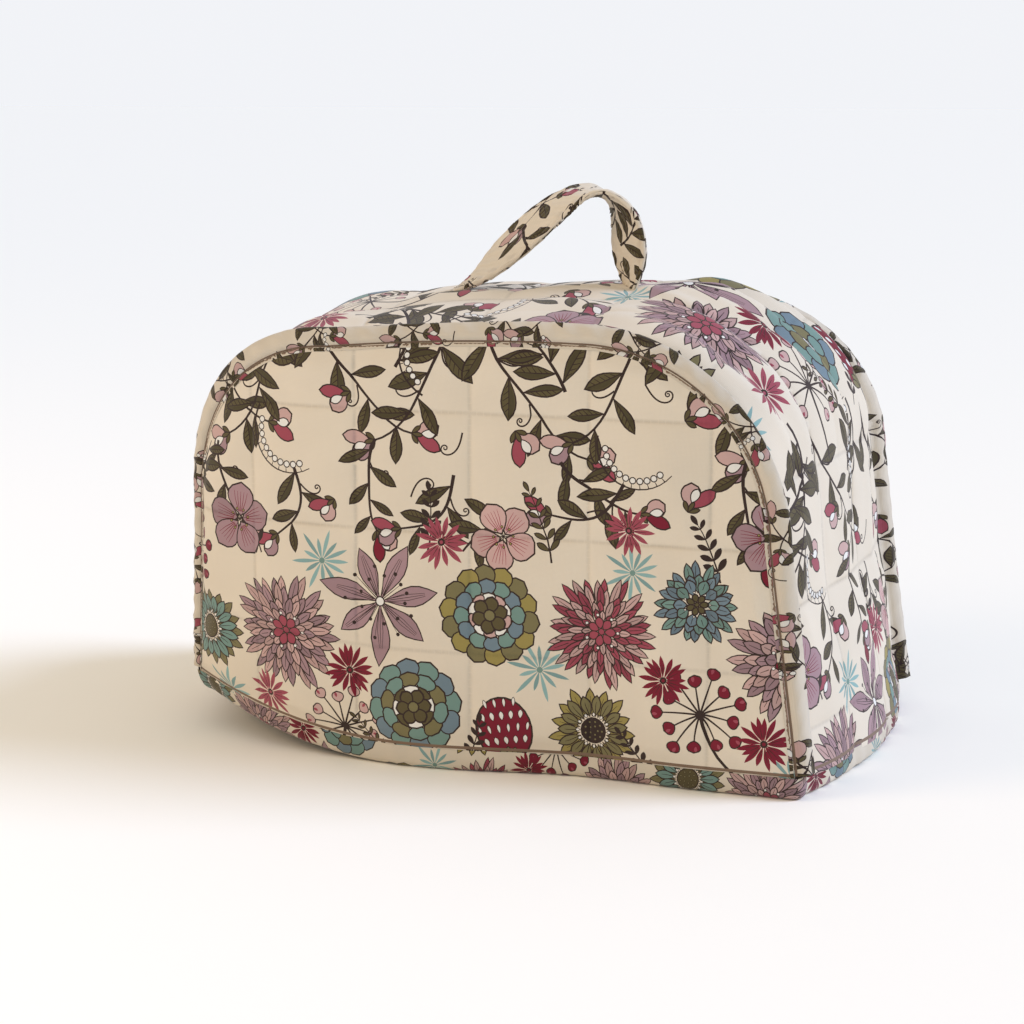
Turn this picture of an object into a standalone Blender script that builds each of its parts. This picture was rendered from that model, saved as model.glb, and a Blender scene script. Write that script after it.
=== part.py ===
"""Quilted toaster cover: two D-shaped panels, a gusset, bindings and a looped strap.

Metres, +Z up. X runs along the cover, Y through its depth with the front at -Y.
The cover rests on its hem at Z = 0.
"""
import math
from dataclasses import dataclass

import bmesh
import bpy
import numpy as np

MM = 0.001
CM = 0.01

# Cloth and gaps
CLOTH = 3.0 * MM
GAP = 0.3 * MM
QUILT_PITCH = 53 * MM
QUILT_PUFF = 1.6 * MM

# Bindings
FLANGE_WIDTH = 8.5 * MM
FLANGE_THICK = 3.6 * MM
FLANGE_LEAN = math.radians(50)
FLANGE_LEAN_TALL = 13 * CM
BACK_FLANGE_LEAN = math.radians(-55)
FLANGE_SOFT = 0.35
HEM_CORNER_OUT = 3.5 * MM
HEM_TALL = 9.5 * MM
HEM_THICK = 4.4 * MM

# Places of the two panels
FRONT_Y = -9.0 * CM
BACK_Y = 8.7 * CM

# The front's left part turns back, and its hem lifts at that corner
TURN_START = -3.0 * CM
TURN_LENGTH = 13.0 * CM
TURN_ANGLE = math.radians(46)
TURN_EASE = 1.5
TURN_LOSS = 0.25
HEM_LIFT = 1.7 * CM
LIFT_REACH = 13.0 * CM
LIFT_EASE = 1.2
LIFT_TALL = 12 * CM
LIFT_X = -15.2 * CM
LIFT_Y = -4.8 * CM

# Slack waves of the front and the back near the hem
WAVES = (
    # place across, half width, depth
    (-2.0 * CM, 3.0 * CM, -3.0 * MM),
    (5.0 * CM, 3.5 * CM, 5.0 * MM),
)
WAVE_TALL = 12 * CM
BACK_SLACK = 2.5 * MM
BACK_SLACK_LENGTH = 4.2 * CM
BACK_SLACK_TALL = 14 * CM

# The gusset stands out between its two seams
TOP_CROWN = 15 * MM
SIDE_CROWN = 8 * MM
HEM_CROWN = 14 * MM
LEFT_CROWN_SHARE = 0.5
LEFT_CROWN_REACH = 12 * CM
TOP_CROWN_START = 11 * CM
TOP_CROWN_RISE = 8 * CM
HEM_CROWN_RISE = 9 * CM
CROWN_ROUNDNESS = 0.8

# How fast the top seam falls away from its peak, per metre
TOP_CURVE = 0.55

# Steps along each edge of a panel and through the gusset
SIDE_STEPS = 24
TOP_STEPS = 36
DEPTH_STEPS = 12
STRAP_STEPS = 48
HALF_CORNER = 30

# The looped strap
STRAP_WIDE = 23 * MM
STRAP_THICK = 3.0 * MM

# Rounding of the hem's and the strap's edges, and how far a lifted hem curls under
EDGE_SOFT = 0.9 * MM
HEM_CURL = 0.45


@dataclass(frozen=True)
class Outline:
    """The seam line of one panel, across and up in the cloth's own flat plane."""

    hem_left: float
    hem_right: float
    shoulder_left: float
    shoulder_right: float
    corner_left: float
    corner_right: float
    top: float
    peak: float

    def crest(self, across):
        """Height of the top seam, highest at the peak and falling to each side."""
        return self.top - TOP_CURVE * (across - self.peak) ** 2


FRONT = Outline(
    hem_left=15.5 * CM,
    hem_right=14.4 * CM,
    shoulder_left=14.4 * CM,
    shoulder_right=13.1 * CM,
    corner_left=7.8 * CM,
    corner_right=8.2 * CM,
    top=19.0 * CM,
    peak=3.0 * CM,
)
BACK = Outline(
    hem_left=15.4 * CM,
    hem_right=16.0 * CM,
    shoulder_left=13.9 * CM,
    shoulder_right=14.4 * CM,
    corner_left=8.0 * CM,
    corner_right=6.8 * CM,
    top=19.1 * CM,
    peak=4.0 * CM,
)

# The strap's route: place in cm, and its turn about its own line in degrees
STRAP_ROUTE = (
    # x, y, z, turn, width share
    (-3.25, -1.5, 20.3, 0, 0.55),
    (-2.6, -1.5, 20.8, 14, 0.75),
    (-1.6, -1.5, 21.6, 34, 0.92),
    (-0.1, -1.5, 22.9, 44, 1.00),
    (1.5, -1.5, 24.2, 38, 1.00),
    (2.9, -1.5, 24.95, 18, 1.00),
    (4.0, -1.5, 24.8, -18, 1.00),
    (4.75, -1.5, 23.8, -46, 1.00),
    (5.0, -1.5, 22.4, -54, 1.00),
    (5.05, -1.5, 21.3, -42, 0.85),
    (5.15, -1.5, 20.3, -14, 0.55),
)


def smooth(value):
    """Ease from 0 to 1 as value goes from 0 to 1."""
    value = np.clip(value, 0.0, 1.0)
    return value * value * (3.0 - 2.0 * value)


def resample(points, count):
    """Points at equal steps along a chain of points."""
    points = np.asarray(points, float)
    lengths = np.linalg.norm(np.diff(points, axis=0), axis=1)
    along = np.concatenate([[0.0], np.cumsum(lengths)])
    wanted = np.linspace(0.0, along[-1], count)
    return np.stack([np.interp(wanted, along, points[:, k]) for k in range(points.shape[1])], -1)


def side_line(hem, shoulder, corner, corner_top):
    """One side of an outline, from the hem up to the end of its corner, x positive."""
    corner_base = corner_top - corner
    rise = np.linspace(0.0, 1.0, 40)
    straight_x = shoulder + (hem - shoulder) * (1.0 - rise)
    straight = np.stack([straight_x, HEM_TALL + GAP + rise * (corner_base - HEM_TALL - GAP)], -1)
    angle = np.linspace(0.0, math.pi / 2, 2 * HALF_CORNER)[1:]
    arc = np.stack(
        [shoulder - corner + corner * np.cos(angle), corner_base + corner * np.sin(angle)], -1
    )
    return np.concatenate([straight, arc])


def seam_parts(outline):
    """The left side, top and right side of an outline, split half way round the corners."""
    left_top = outline.crest(outline.corner_left - outline.shoulder_left)
    right_top = outline.crest(outline.shoulder_right - outline.corner_right)
    left = side_line(outline.hem_left, outline.shoulder_left, outline.corner_left, left_top)
    left[:, 0] *= -1.0
    right = side_line(outline.hem_right, outline.shoulder_right, outline.corner_right, right_top)
    across = np.linspace(left[-1, 0], right[-1, 0], 80)
    top = np.stack([across, outline.crest(across)], -1)
    left_side = resample(left[:-HALF_CORNER], SIDE_STEPS + 1)
    right_side = resample(right[:-HALF_CORNER], SIDE_STEPS + 1)
    over = np.concatenate([left[-HALF_CORNER - 1:], top[1:-1], right[::-1][:HALF_CORNER + 1]])
    return left_side, resample(over, TOP_STEPS + 1), right_side


def seam_line(outline):
    """The whole seam from the left of the hem over the top to the right of the hem."""
    left, top, right = seam_parts(outline)
    return np.concatenate([left, top[1:], right[::-1][1:]])


def panel_grid(outline):
    """A panel's flat points in rows and columns that follow its four edges."""
    left, top, right = seam_parts(outline)
    hem = resample([left[0], right[0]], TOP_STEPS + 1)
    s = np.linspace(0.0, 1.0, TOP_STEPS + 1)[None, :, None]
    t = np.linspace(0.0, 1.0, SIDE_STEPS + 1)[:, None, None]
    between_rows = (1 - t) * hem[None] + t * top[None]
    between_sides = (1 - s) * left[:, None] + s * right[:, None]
    corners = (1 - s) * ((1 - t) * hem[0] + t * top[0]) + s * ((1 - t) * hem[-1] + t * top[-1])
    return between_rows + between_sides - corners


def quilt(across, up):
    """Height of the padding above the sewn lines of a square grid."""
    first = np.abs(np.sin(math.pi * across / QUILT_PITCH))
    second = np.abs(np.sin(math.pi * up / QUILT_PITCH))
    return QUILT_PUFF * (np.sqrt(np.minimum(first, second) + 0.02) - 0.14)


def turned_back(across, up):
    """Place in plan of the front cloth, whose left part turns back: x and y."""
    steps = np.linspace(0.0, 1.0, 60)
    angle = TURN_ANGLE * steps ** TURN_EASE
    run = np.concatenate([[0.0], np.cumsum(0.5 * (np.cos(angle[1:]) + np.cos(angle[:-1])))])
    back = np.concatenate([[0.0], np.cumsum(0.5 * (np.sin(angle[1:]) + np.sin(angle[:-1])))])
    scale = TURN_LENGTH / (len(steps) - 1)
    share = np.clip((TURN_START - across) / TURN_LENGTH, 0.0, 1.0)
    x = np.where(across > TURN_START, across, TURN_START - np.interp(share, steps, run) * scale)
    height = 1.0 - TURN_LOSS * smooth(up / FRONT.top)
    y = np.interp(share, steps, back) * scale * height
    return x, y


def front_wave(across, up):
    """The slack wave of the front near its hem."""
    wave = sum(depth * np.exp(-(((across - place) / wide) ** 2)) for place, wide, depth in WAVES)
    return wave * (1.0 - smooth(up / WAVE_TALL))


def lift(x, y):
    """Height of the hem above the surface: it lifts at the front's left corner only."""
    reach = np.hypot(x - LIFT_X, y - LIFT_Y) / LIFT_REACH
    return HEM_LIFT * (1.0 - smooth(reach)) ** LIFT_EASE


def raised(x, y, up):
    """Height of a point of cloth, pushed up where the hem under it lifts."""
    share = np.clip((up - HEM_TALL) / LIFT_TALL, 0.0, 1.0)
    return up + lift(x, y) * (1.0 - share) ** 2


def on_hem(points):
    """Points of a bottom edge, set just above the hem below them."""
    level = HEM_TALL + GAP + lift(points[..., 0], points[..., 1])
    return np.concatenate([points[..., :2], level[..., None]], -1)


def front_place(across, up):
    """A point of the front panel's middle surface."""
    x, back = turned_back(across, up)
    y = FRONT_Y + back + front_wave(across, up)
    return np.stack([x, y, raised(x, y, up)], -1)


def back_place(across, up):
    """A point of the back panel's middle surface."""
    slack = BACK_SLACK * np.sin(across / BACK_SLACK_LENGTH) * (1.0 - smooth(up / BACK_SLACK_TALL))
    y = BACK_Y + slack
    return np.stack([across, y + 0 * up, up + 0 * across], -1)


def facing(place, across, up, side):
    """Outward unit normals of a panel's surface: side is -1 for the front, 1 for the back."""
    step = 0.2 * MM
    along = place(across + step, up) - place(across - step, up)
    rise = place(across, up + step) - place(across, up - step)
    normal = np.cross(along, rise)
    normal /= np.linalg.norm(normal, axis=-1, keepdims=True)
    return normal if side < 0 else -normal


def link_object(name, verts, faces, colour, roughness):
    """A smooth mesh object with its own material."""
    mesh = bpy.data.meshes.new(name)
    mesh.from_pydata([tuple(map(float, v)) for v in verts], [], faces)
    work = bmesh.new()
    work.from_mesh(mesh)
    bmesh.ops.recalc_face_normals(work, faces=work.faces)
    work.to_mesh(mesh)
    work.free()
    mesh.shade_smooth()
    mesh.set_sharp_from_angle(angle=math.radians(50))
    material = bpy.data.materials.new(name + "_cloth")
    material.use_nodes = True
    shader = material.node_tree.nodes["Principled BSDF"]
    shader.inputs["Base Color"].default_value = (*colour, 1.0)
    shader.inputs["Roughness"].default_value = roughness
    shader.inputs["Metallic"].default_value = 0.0
    mesh.materials.append(material)
    made = bpy.data.objects.new(name, mesh)
    bpy.context.scene.collection.objects.link(made)
    return made


def slab(name, outer, inner, colour, roughness=0.85):
    """A closed sheet between two grids of points with the same rows and columns."""
    rows, columns = outer.shape[:2]
    count = rows * columns
    verts = np.concatenate([outer.reshape(-1, 3), inner.reshape(-1, 3)])
    faces = []
    for r in range(rows - 1):
        for c in range(columns - 1):
            a = r * columns + c
            quad = (a, a + 1, a + columns + 1, a + columns)
            faces.append(quad)
            faces.append(tuple(count + k for k in reversed(quad)))
    rim = [c for c in range(columns)]
    rim += [r * columns + columns - 1 for r in range(1, rows)]
    rim += [(rows - 1) * columns + c for c in range(columns - 2, -1, -1)]
    rim += [r * columns for r in range(rows - 2, 0, -1)]
    for a, b in zip(rim, rim[1:] + rim[:1]):
        faces.append((b, a, count + a, count + b))
    return link_object(name, verts, faces, colour, roughness)


def sweep(name, rings, closed, colour, roughness=0.85):
    """A closed solid through rings of points, capped at its ends or joined into a loop."""
    count, around = rings.shape[:2]
    verts = rings.reshape(-1, 3)
    faces = []
    last = count if closed else count - 1
    for i in range(last):
        here = i * around
        there = ((i + 1) % count) * around
        for k in range(around):
            m = (k + 1) % around
            faces.append((here + k, here + m, there + m, there + k))
    if not closed:
        faces.append(tuple(range(around - 1, -1, -1)))
        faces.append(tuple((count - 1) * around + k for k in range(around)))
    return link_object(name, verts, faces, colour, roughness)


def band_section(wide, thick):
    """A flat band's section with softened corners: along the width, then the thickness."""
    soft = FLANGE_SOFT * thick
    half = 0.5 * thick
    return (
        (0.0, -half),
        (wide - soft, -half),
        (wide, -half + soft),
        (wide, half - soft),
        (wide - soft, half),
        (0.0, half),
    )


def seam_frame(outline, place, side):
    """Points, outward directions and normals along a panel's seam."""
    flat = seam_line(outline)
    tangent = np.gradient(flat, axis=0)
    tangent /= np.linalg.norm(tangent, axis=1, keepdims=True)
    out_flat = np.stack([-tangent[:, 1], tangent[:, 0]], -1)
    points = place(flat[:, 0], flat[:, 1])
    step = 0.5 * MM
    moved = flat + out_flat * step
    out = place(moved[:, 0], moved[:, 1]) - points
    out /= np.linalg.norm(out, axis=1, keepdims=True)
    normal = facing(place, flat[:, 0], flat[:, 1], side)
    return points, out, normal


def make_panel(name, outline, place, side, colour):
    """One quilted panel, its relief raised on the outer face."""
    grid = panel_grid(outline)
    across, up = grid[..., 0], grid[..., 1]
    surface = place(across, up)
    normal = facing(place, across, up, side)
    relief = quilt(across, up)[..., None]
    relief[[0, -1]] = 0.0
    relief[:, [0, -1]] = 0.0
    outer = surface + normal * (0.5 * CLOTH + relief)
    inner = surface - normal * 0.5 * CLOTH
    outer[0] = on_hem(outer[0])
    inner[0] = on_hem(inner[0])
    return slab(name, outer, inner, colour)


def make_flange(name, outline, place, side, colour):
    """The binding that stands out all round a panel's seam: the back one leans away."""
    points, out, normal = seam_frame(outline, place, side)
    lean = FLANGE_LEAN * (1.0 - smooth(points[:, 2:] / FLANGE_LEAN_TALL)) * (points[:, :1] > 0)
    if side > 0:
        lean = np.full_like(lean, BACK_FLANGE_LEAN)
    along = out * np.cos(lean) - normal * np.sin(lean)
    across = normal * np.cos(lean) + out * np.sin(lean)
    base = points + out * (GAP + 0.5 * FLANGE_THICK * np.abs(np.sin(lean)))
    rings = []
    for wide, thick in band_section(FLANGE_WIDTH, FLANGE_THICK):
        rings.append(base + along * wide + across * thick)
    rings = np.stack(rings, 1)
    rings[0] = on_hem(rings[0])
    rings[-1] = on_hem(rings[-1])
    return sweep(name, rings, False, colour)


def gusset_rows():
    """Front and back seam points of the gusset, with the directions that lead out."""
    front, front_out, front_normal = seam_frame(FRONT, front_place, -1)
    back, back_out, back_normal = seam_frame(BACK, back_place, 1)
    set_in = 0.5 * CLOTH + GAP
    return front - front_normal * set_in, front_out, back - back_normal * set_in, back_out


def gusset_crown(across, depth, up):
    """How far the gusset stands out between its seams."""
    fullness = 1.0 - (1.0 - LEFT_CROWN_SHARE) * smooth(-across / LEFT_CROWN_REACH)
    top_share = smooth((up - TOP_CROWN_START) / TOP_CROWN_RISE) * fullness
    hem_share = 1.0 - smooth(up / HEM_CROWN_RISE)
    crown = TOP_CROWN * top_share + SIDE_CROWN * (1.0 - top_share)
    crown = crown + (HEM_CROWN - SIDE_CROWN) * hem_share
    rounded = np.sin(math.pi * depth) ** CROWN_ROUNDNESS
    return crown * rounded


def gusset_grids():
    """Outer and inner points of the gusset."""
    front, front_out, back, back_out = gusset_rows()
    depth = np.linspace(0.0, 1.0, DEPTH_STEPS + 1)[:, None]
    base = front[None] * (1 - depth[..., None]) + back[None] * depth[..., None]
    out = front_out[None] * (1 - depth[..., None]) + back_out[None] * depth[..., None]
    out /= np.linalg.norm(out, axis=-1, keepdims=True)
    lengths = np.linalg.norm(np.diff(front, axis=0), axis=1)
    around = np.concatenate([[0.0], np.cumsum(lengths)])[None, :] - 0.5 * lengths.sum()
    through = depth * (BACK_Y - FRONT_Y)
    puff = quilt(around, through) * np.sin(math.pi * depth) ** 0.5
    crown = gusset_crown(base[..., 0], depth, base[..., 2])
    outer = base + out * (crown + puff)[..., None]
    inner = base + out * (crown - CLOTH)[..., None]
    for grid in (outer, inner):
        grid[:, [0, -1]] = on_hem(grid[:, [0, -1]])
    return outer, inner


def make_gusset(name, first, last, colour):
    """One length of the strip over the left side, top and right side, a gap short at each cut."""
    lengths = []
    for grid in gusset_grids():
        length = grid[:, first:last + 1].copy()
        for end, inward in ((0, 1), (-1, -2)):
            if (first, last)[end] in (SIDE_STEPS, SIDE_STEPS + TOP_STEPS):
                step = grid[:, first:last + 1][:, inward] - length[:, end]
                length[:, end] += 0.5 * GAP * step / np.linalg.norm(step, axis=1, keepdims=True)
        lengths.append(length)
    return slab(name, *lengths, colour)


def hem_loop():
    """Middle points of the hem in plan, all round, with the rows of the panels above."""
    left, _, right = seam_parts(FRONT)
    across = np.linspace(left[0, 0], right[0, 0], TOP_STEPS + 1)
    front = front_place(across, np.full_like(across, HEM_TALL))
    outer, inner = gusset_grids()
    middle = 0.5 * (outer + inner)
    right_side = middle[1:-1, -1]
    left_side = middle[1:-1, 0][::-1]
    left, _, right = seam_parts(BACK)
    across = np.linspace(right[0, 0], left[0, 0], TOP_STEPS + 1)
    back = back_place(across, np.full_like(across, HEM_TALL))
    loop = np.concatenate([front, right_side, back, left_side])[:, :2]
    middle = 0.5 * (loop.min(0) + loop.max(0))
    for corner in (0, TOP_STEPS, TOP_STEPS + DEPTH_STEPS, -DEPTH_STEPS + 1):
        loop[corner] += np.sign(loop[corner] - middle) * HEM_CORNER_OUT
    for _ in range(2):
        loop = 0.25 * np.roll(loop, 1, 0) + 0.5 * loop + 0.25 * np.roll(loop, -1, 0)
    return loop


def make_hem(colour):
    """The hem binding: a band folded over the bottom edges all round."""
    loop = hem_loop()
    ahead = np.roll(loop, -1, 0) - np.roll(loop, 1, 0)
    ahead /= np.linalg.norm(ahead, axis=1, keepdims=True)
    out = np.stack([ahead[:, 1], -ahead[:, 0]], -1)
    lean = HEM_CURL * lift(loop[:, 0], loop[:, 1]) / HEM_LIFT
    rings = []
    half = 0.5 * HEM_THICK
    soft = EDGE_SOFT
    section = (
        (-half, HEM_TALL - soft),
        (-half + soft, HEM_TALL),
        (half - soft, HEM_TALL),
        (half, HEM_TALL - soft),
        (half, soft),
        (half - soft, 0.0),
        (-half + soft, 0.0),
        (-half, soft),
    )
    for side, tall in section:
        ring_out = side - lean * (HEM_TALL - tall)
        place = loop + out * ring_out[:, None]
        height = tall + lift(place[:, 0], place[:, 1])
        rings.append(np.concatenate([place, height[:, None]], 1))
    return sweep("hem_binding", np.stack(rings, 1), True, colour)


def catmull(points, count):
    """A smooth curve through rows of numbers."""
    points = np.asarray(points, float)
    padded = np.concatenate([[2 * points[0] - points[1]], points, [2 * points[-1] - points[-2]]])
    spans = len(points) - 1
    where = np.linspace(0.0, spans, count)
    index = np.minimum(where.astype(int), spans - 1)
    t = (where - index)[:, None]
    a, b, c, d = (padded[index + k] for k in range(4))
    return 0.5 * (2 * b + (c - a) * t + (2 * a - 5 * b + 4 * c - d) * t**2 + (3 * b - a - 3 * c + d) * t**3)


def seated(rings):
    """The strap's rings, each raised where it would dip into the gusset under it."""
    outer, _ = gusset_grids()
    tops = outer.reshape(-1, 3)
    dips = []
    for ring in rings:
        dip = 0.0
        for corner in ring:
            near = np.argsort(np.hypot(*(tops[:, :2] - corner[:2]).T))[:4]
            dip = max(dip, tops[near, 2].max() + GAP - corner[2])
        dips.append(dip)
    dips = np.maximum.reduce([np.roll(dips, k) for k in (-1, 0, 1)])
    return rings + np.array([0.0, 0.0, 1.0]) * dips[:, None, None]


def make_strap(colour):
    """One flat strap, looped and twisted over the top."""
    rows = catmull(STRAP_ROUTE, STRAP_STEPS + 1)
    route = rows[:, :3] * CM
    tangent = np.gradient(route, axis=0)
    tangent /= np.linalg.norm(tangent, axis=1, keepdims=True)
    turn = np.radians(rows[:, 3])
    depthwise = np.array([0.0, -1.0, 0.0])
    edge = depthwise - tangent * (tangent @ depthwise)[:, None]
    edge /= np.linalg.norm(edge, axis=1, keepdims=True)
    outward = np.cross(edge, tangent)
    wide = edge * np.cos(turn)[:, None] - outward * np.sin(turn)[:, None]
    thick = np.cross(wide, tangent)
    half_wide = 0.5 * STRAP_WIDE * rows[:, 4]
    half = 0.5 * STRAP_THICK
    soft = EDGE_SOFT
    rings = []
    for side_wide, side_thick in ((-1, -1), (-1, 1), (1, 1), (1, -1)):
        inward = np.where(side_wide * side_thick > 0, soft, 0.0)
        first = route + wide * (side_wide * (half_wide - inward))[:, None]
        other = route + wide * (side_wide * (half_wide - (soft - inward)))[:, None]
        rings.append(first + thick * side_thick * (half if inward else half - soft))
        rings.append(other + thick * side_thick * (half - soft if inward else half))
    return sweep("handle_strap", seated(np.stack(rings, 1)), False, colour)


def centre_on_origin(objects):
    """Move every mesh so that the whole cover's box is centred over the origin."""
    corners = [v.co for made in objects for v in made.data.vertices]
    low = np.min(corners, axis=0)
    high = np.max(corners, axis=0)
    shift = -0.5 * (low + high)
    for made in objects:
        for vertex in made.data.vertices:
            vertex.co.x += shift[0]
            vertex.co.y += shift[1]
        made.data.update()


def main():
    """Build the cover's pieces of cloth."""
    for thing in list(bpy.data.objects):
        bpy.data.objects.remove(thing, do_unlink=True)
    cream = (0.72, 0.60, 0.45)
    pale = (0.80, 0.76, 0.68)
    made = [
        make_panel("front_panel", FRONT, front_place, -1, cream),
        make_panel("back_panel", BACK, back_place, 1, cream),
        make_gusset("gusset_left", 0, SIDE_STEPS, pale),
        make_gusset("gusset_top", SIDE_STEPS, SIDE_STEPS + TOP_STEPS, pale),
        make_gusset("gusset_right", SIDE_STEPS + TOP_STEPS, 2 * SIDE_STEPS + TOP_STEPS, pale),
        make_flange("front_binding", FRONT, front_place, -1, pale),
        make_flange("back_binding", BACK, back_place, 1, pale),
        make_hem(cream),
        make_strap(pale),
    ]
    centre_on_origin(made)


main()
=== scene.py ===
"""Looks of the quilted toaster cover.

Each piece of cloth is cut flat, printed with a floral repeat and laid on the
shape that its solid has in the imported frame. Lengths are metres, and the print
is drawn in centimetres of flat cloth.
"""
from __future__ import annotations

import logging
import math
from dataclasses import dataclass, field
from enum import Enum
from typing import Callable, Protocol

import bpy
import numpy as np
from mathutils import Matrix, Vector
from mathutils.geometry import delaunay_2d_cdt

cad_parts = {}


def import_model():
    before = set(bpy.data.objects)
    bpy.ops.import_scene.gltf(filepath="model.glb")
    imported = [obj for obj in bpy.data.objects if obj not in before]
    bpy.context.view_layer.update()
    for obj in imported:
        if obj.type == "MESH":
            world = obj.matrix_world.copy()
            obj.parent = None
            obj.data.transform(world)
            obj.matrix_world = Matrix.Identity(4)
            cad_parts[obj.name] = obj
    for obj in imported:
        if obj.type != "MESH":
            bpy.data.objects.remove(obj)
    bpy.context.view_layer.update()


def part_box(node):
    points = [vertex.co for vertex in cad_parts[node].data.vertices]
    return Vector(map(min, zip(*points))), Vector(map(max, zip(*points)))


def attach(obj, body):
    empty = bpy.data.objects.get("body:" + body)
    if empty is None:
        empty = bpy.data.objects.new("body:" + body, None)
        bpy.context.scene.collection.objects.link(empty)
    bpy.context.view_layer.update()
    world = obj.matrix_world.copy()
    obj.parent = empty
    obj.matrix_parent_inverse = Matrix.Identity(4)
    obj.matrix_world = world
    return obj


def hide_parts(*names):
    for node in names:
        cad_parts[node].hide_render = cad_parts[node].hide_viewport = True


log = logging.getLogger("toaster_cover")

MM = 0.001
CM = 0.01

# Cloth, quilting and seams, the same as the solids have
CLOTH = 3.0 * MM
GAP = 0.3 * MM
QUILT_PITCH = 53 * MM
QUILT_PUFF = 1.6 * MM
STITCH = 3.2 * MM
FLANGE_WIDTH = 8.5 * MM
FLANGE_THICK = 3.6 * MM
FLANGE_LEAN = math.radians(50)
BACK_FLANGE_LEAN = math.radians(-55)
FLANGE_ROOT = 3.0 * MM
HEM_TALL = 9.5 * MM
HEM_THICK = 4.4 * MM
HEM_CORNER_OUT = 3.5 * MM

# Places of the two panels, and the front's turned-back and lifted left part
FRONT_Y = -9.0 * CM
BACK_Y = 8.7 * CM
TURN_START = -3.0 * CM
TURN_LENGTH = 13.0 * CM
TURN_ANGLE = math.radians(46)
HEM_LIFT = 1.7 * CM
LIFT_REACH = 13.0 * CM

# The gusset's three lengths, as shares of the seam from the right hem to the left one
GUSSET_LENGTHS = {"right": (0.0, 0.285), "top": (0.285, 0.715), "left": (0.715, 1.0)}

# How far the gusset stands out between its seams
TOP_CROWN = 15 * MM
SIDE_CROWN = 8 * MM
HEM_CROWN = 14 * MM
LEFT_CROWN_SHARE = 0.5
TOP_CURVE = 0.55

# How wide the strips of painted shade beside a seam are, and where the padding is full
SHADE_STRIP_WIDE = 1.4 * MM
PUFF_REACH = 9 * MM

# Ridges between the sewn lines where the gusset bends over the right shoulder
RIDGES_AT = 19 * CM
RIDGES_REACH = 7 * CM
RIDGE_TALL = 2.2 * MM

STRAP_WIDE = 23 * MM
STRAP_THICK = 3.0 * MM

# One repeat of the print, in cm of cloth
REPEAT_WIDE = 32.0
REPEAT_TALL = 20.0

# Cloth is cut in squares of about this size, and nearer points count as one, in cm
TILE = 2.6
SAME_POINT = 1e-4
OUTLINE_MARGIN = 0.05


def smooth(value: np.ndarray | float) -> np.ndarray:
    """Ease from 0 to 1 as value goes from 0 to 1."""
    value = np.clip(value, 0.0, 1.0)
    return value * value * (3.0 - 2.0 * value)


def unit(vectors: np.ndarray) -> np.ndarray:
    """Vectors scaled to length 1."""
    return vectors / np.maximum(np.linalg.norm(vectors, axis=-1, keepdims=True), 1e-12)


def resample(points: np.ndarray, count: int) -> np.ndarray:
    """Points at equal steps along a chain of points.

    Args:
        points: the chain, one row a point.
        count: how many points to return.

    Returns:
        The new chain, ends included.
    """
    points = np.asarray(points, float)
    lengths = np.linalg.norm(np.diff(points, axis=0), axis=1)
    along = np.concatenate([[0.0], np.cumsum(lengths)])
    wanted = np.linspace(0.0, along[-1], count)
    return np.stack([np.interp(wanted, along, points[:, k]) for k in range(points.shape[1])], -1)


def read_along(table: np.ndarray, share: np.ndarray) -> np.ndarray:
    """Rows of a table read at shares from 0 to 1 of its length."""
    where = np.clip(share, 0.0, 1.0) * (len(table) - 1)
    index = np.arange(len(table))
    return np.stack([np.interp(where, index, table[:, k]) for k in range(table.shape[1])], -1)


def catmull(points: np.ndarray, count: int) -> np.ndarray:
    """A smooth curve through rows of numbers.

    Args:
        points: the rows that the curve passes.
        count: how many rows to return.

    Returns:
        The rows along the curve.
    """
    points = np.asarray(points, float)
    padded = np.concatenate([[2 * points[0] - points[1]], points, [2 * points[-1] - points[-2]]])
    spans = len(points) - 1
    where = np.linspace(0.0, spans, count)
    index = np.minimum(where.astype(int), spans - 1)
    t = (where - index)[:, None]
    a, b, c, d = (padded[index + k] for k in range(4))
    square = 2 * a - 5 * b + 4 * c - d
    cube = 3 * b - a - 3 * c + d
    return 0.5 * (2 * b + (c - a) * t + square * t**2 + cube * t**3)


class Dye(Enum):
    """Colours of the cloth, its print and the painted shade beside seams, as sRGB from 0 to 255."""

    CLOTH = (243, 229, 206)
    # Painted shade, for the dark strips beside the seams
    SHADE = (138, 114, 94)
    REVERSE = (236, 226, 208)
    INK = (58, 42, 36)
    OLIVE = (98, 87, 55)
    MOSS = (133, 124, 84)
    MAUVE = (176, 142, 146)
    BLUSH = (214, 176, 168)
    BURGUNDY = (132, 26, 48)
    ROSE = (170, 78, 92)
    TEAL = (126, 157, 146)
    SLATE = (122, 142, 152)
    AQUA = (152, 190, 186)
    OCHRE = (166, 150, 84)
    WHITE = (250, 246, 236)

    def linear(self, tone: float = 1.0) -> tuple[float, float, float]:
        """The colour in linear light, made lighter or darker by tone."""
        share = np.array(self.value, float) / 255.0
        light = np.where(share <= 0.04045, share / 12.92, ((share + 0.055) / 1.055) ** 2.4)
        return tuple(np.clip(light * tone, 0.0, 1.0))


@dataclass(frozen=True)
class Patch:
    """One printed shape: its outline in cm of cloth, its dye and how light it is."""

    outline: np.ndarray
    dye: Dye
    tone: float = 1.0


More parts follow.
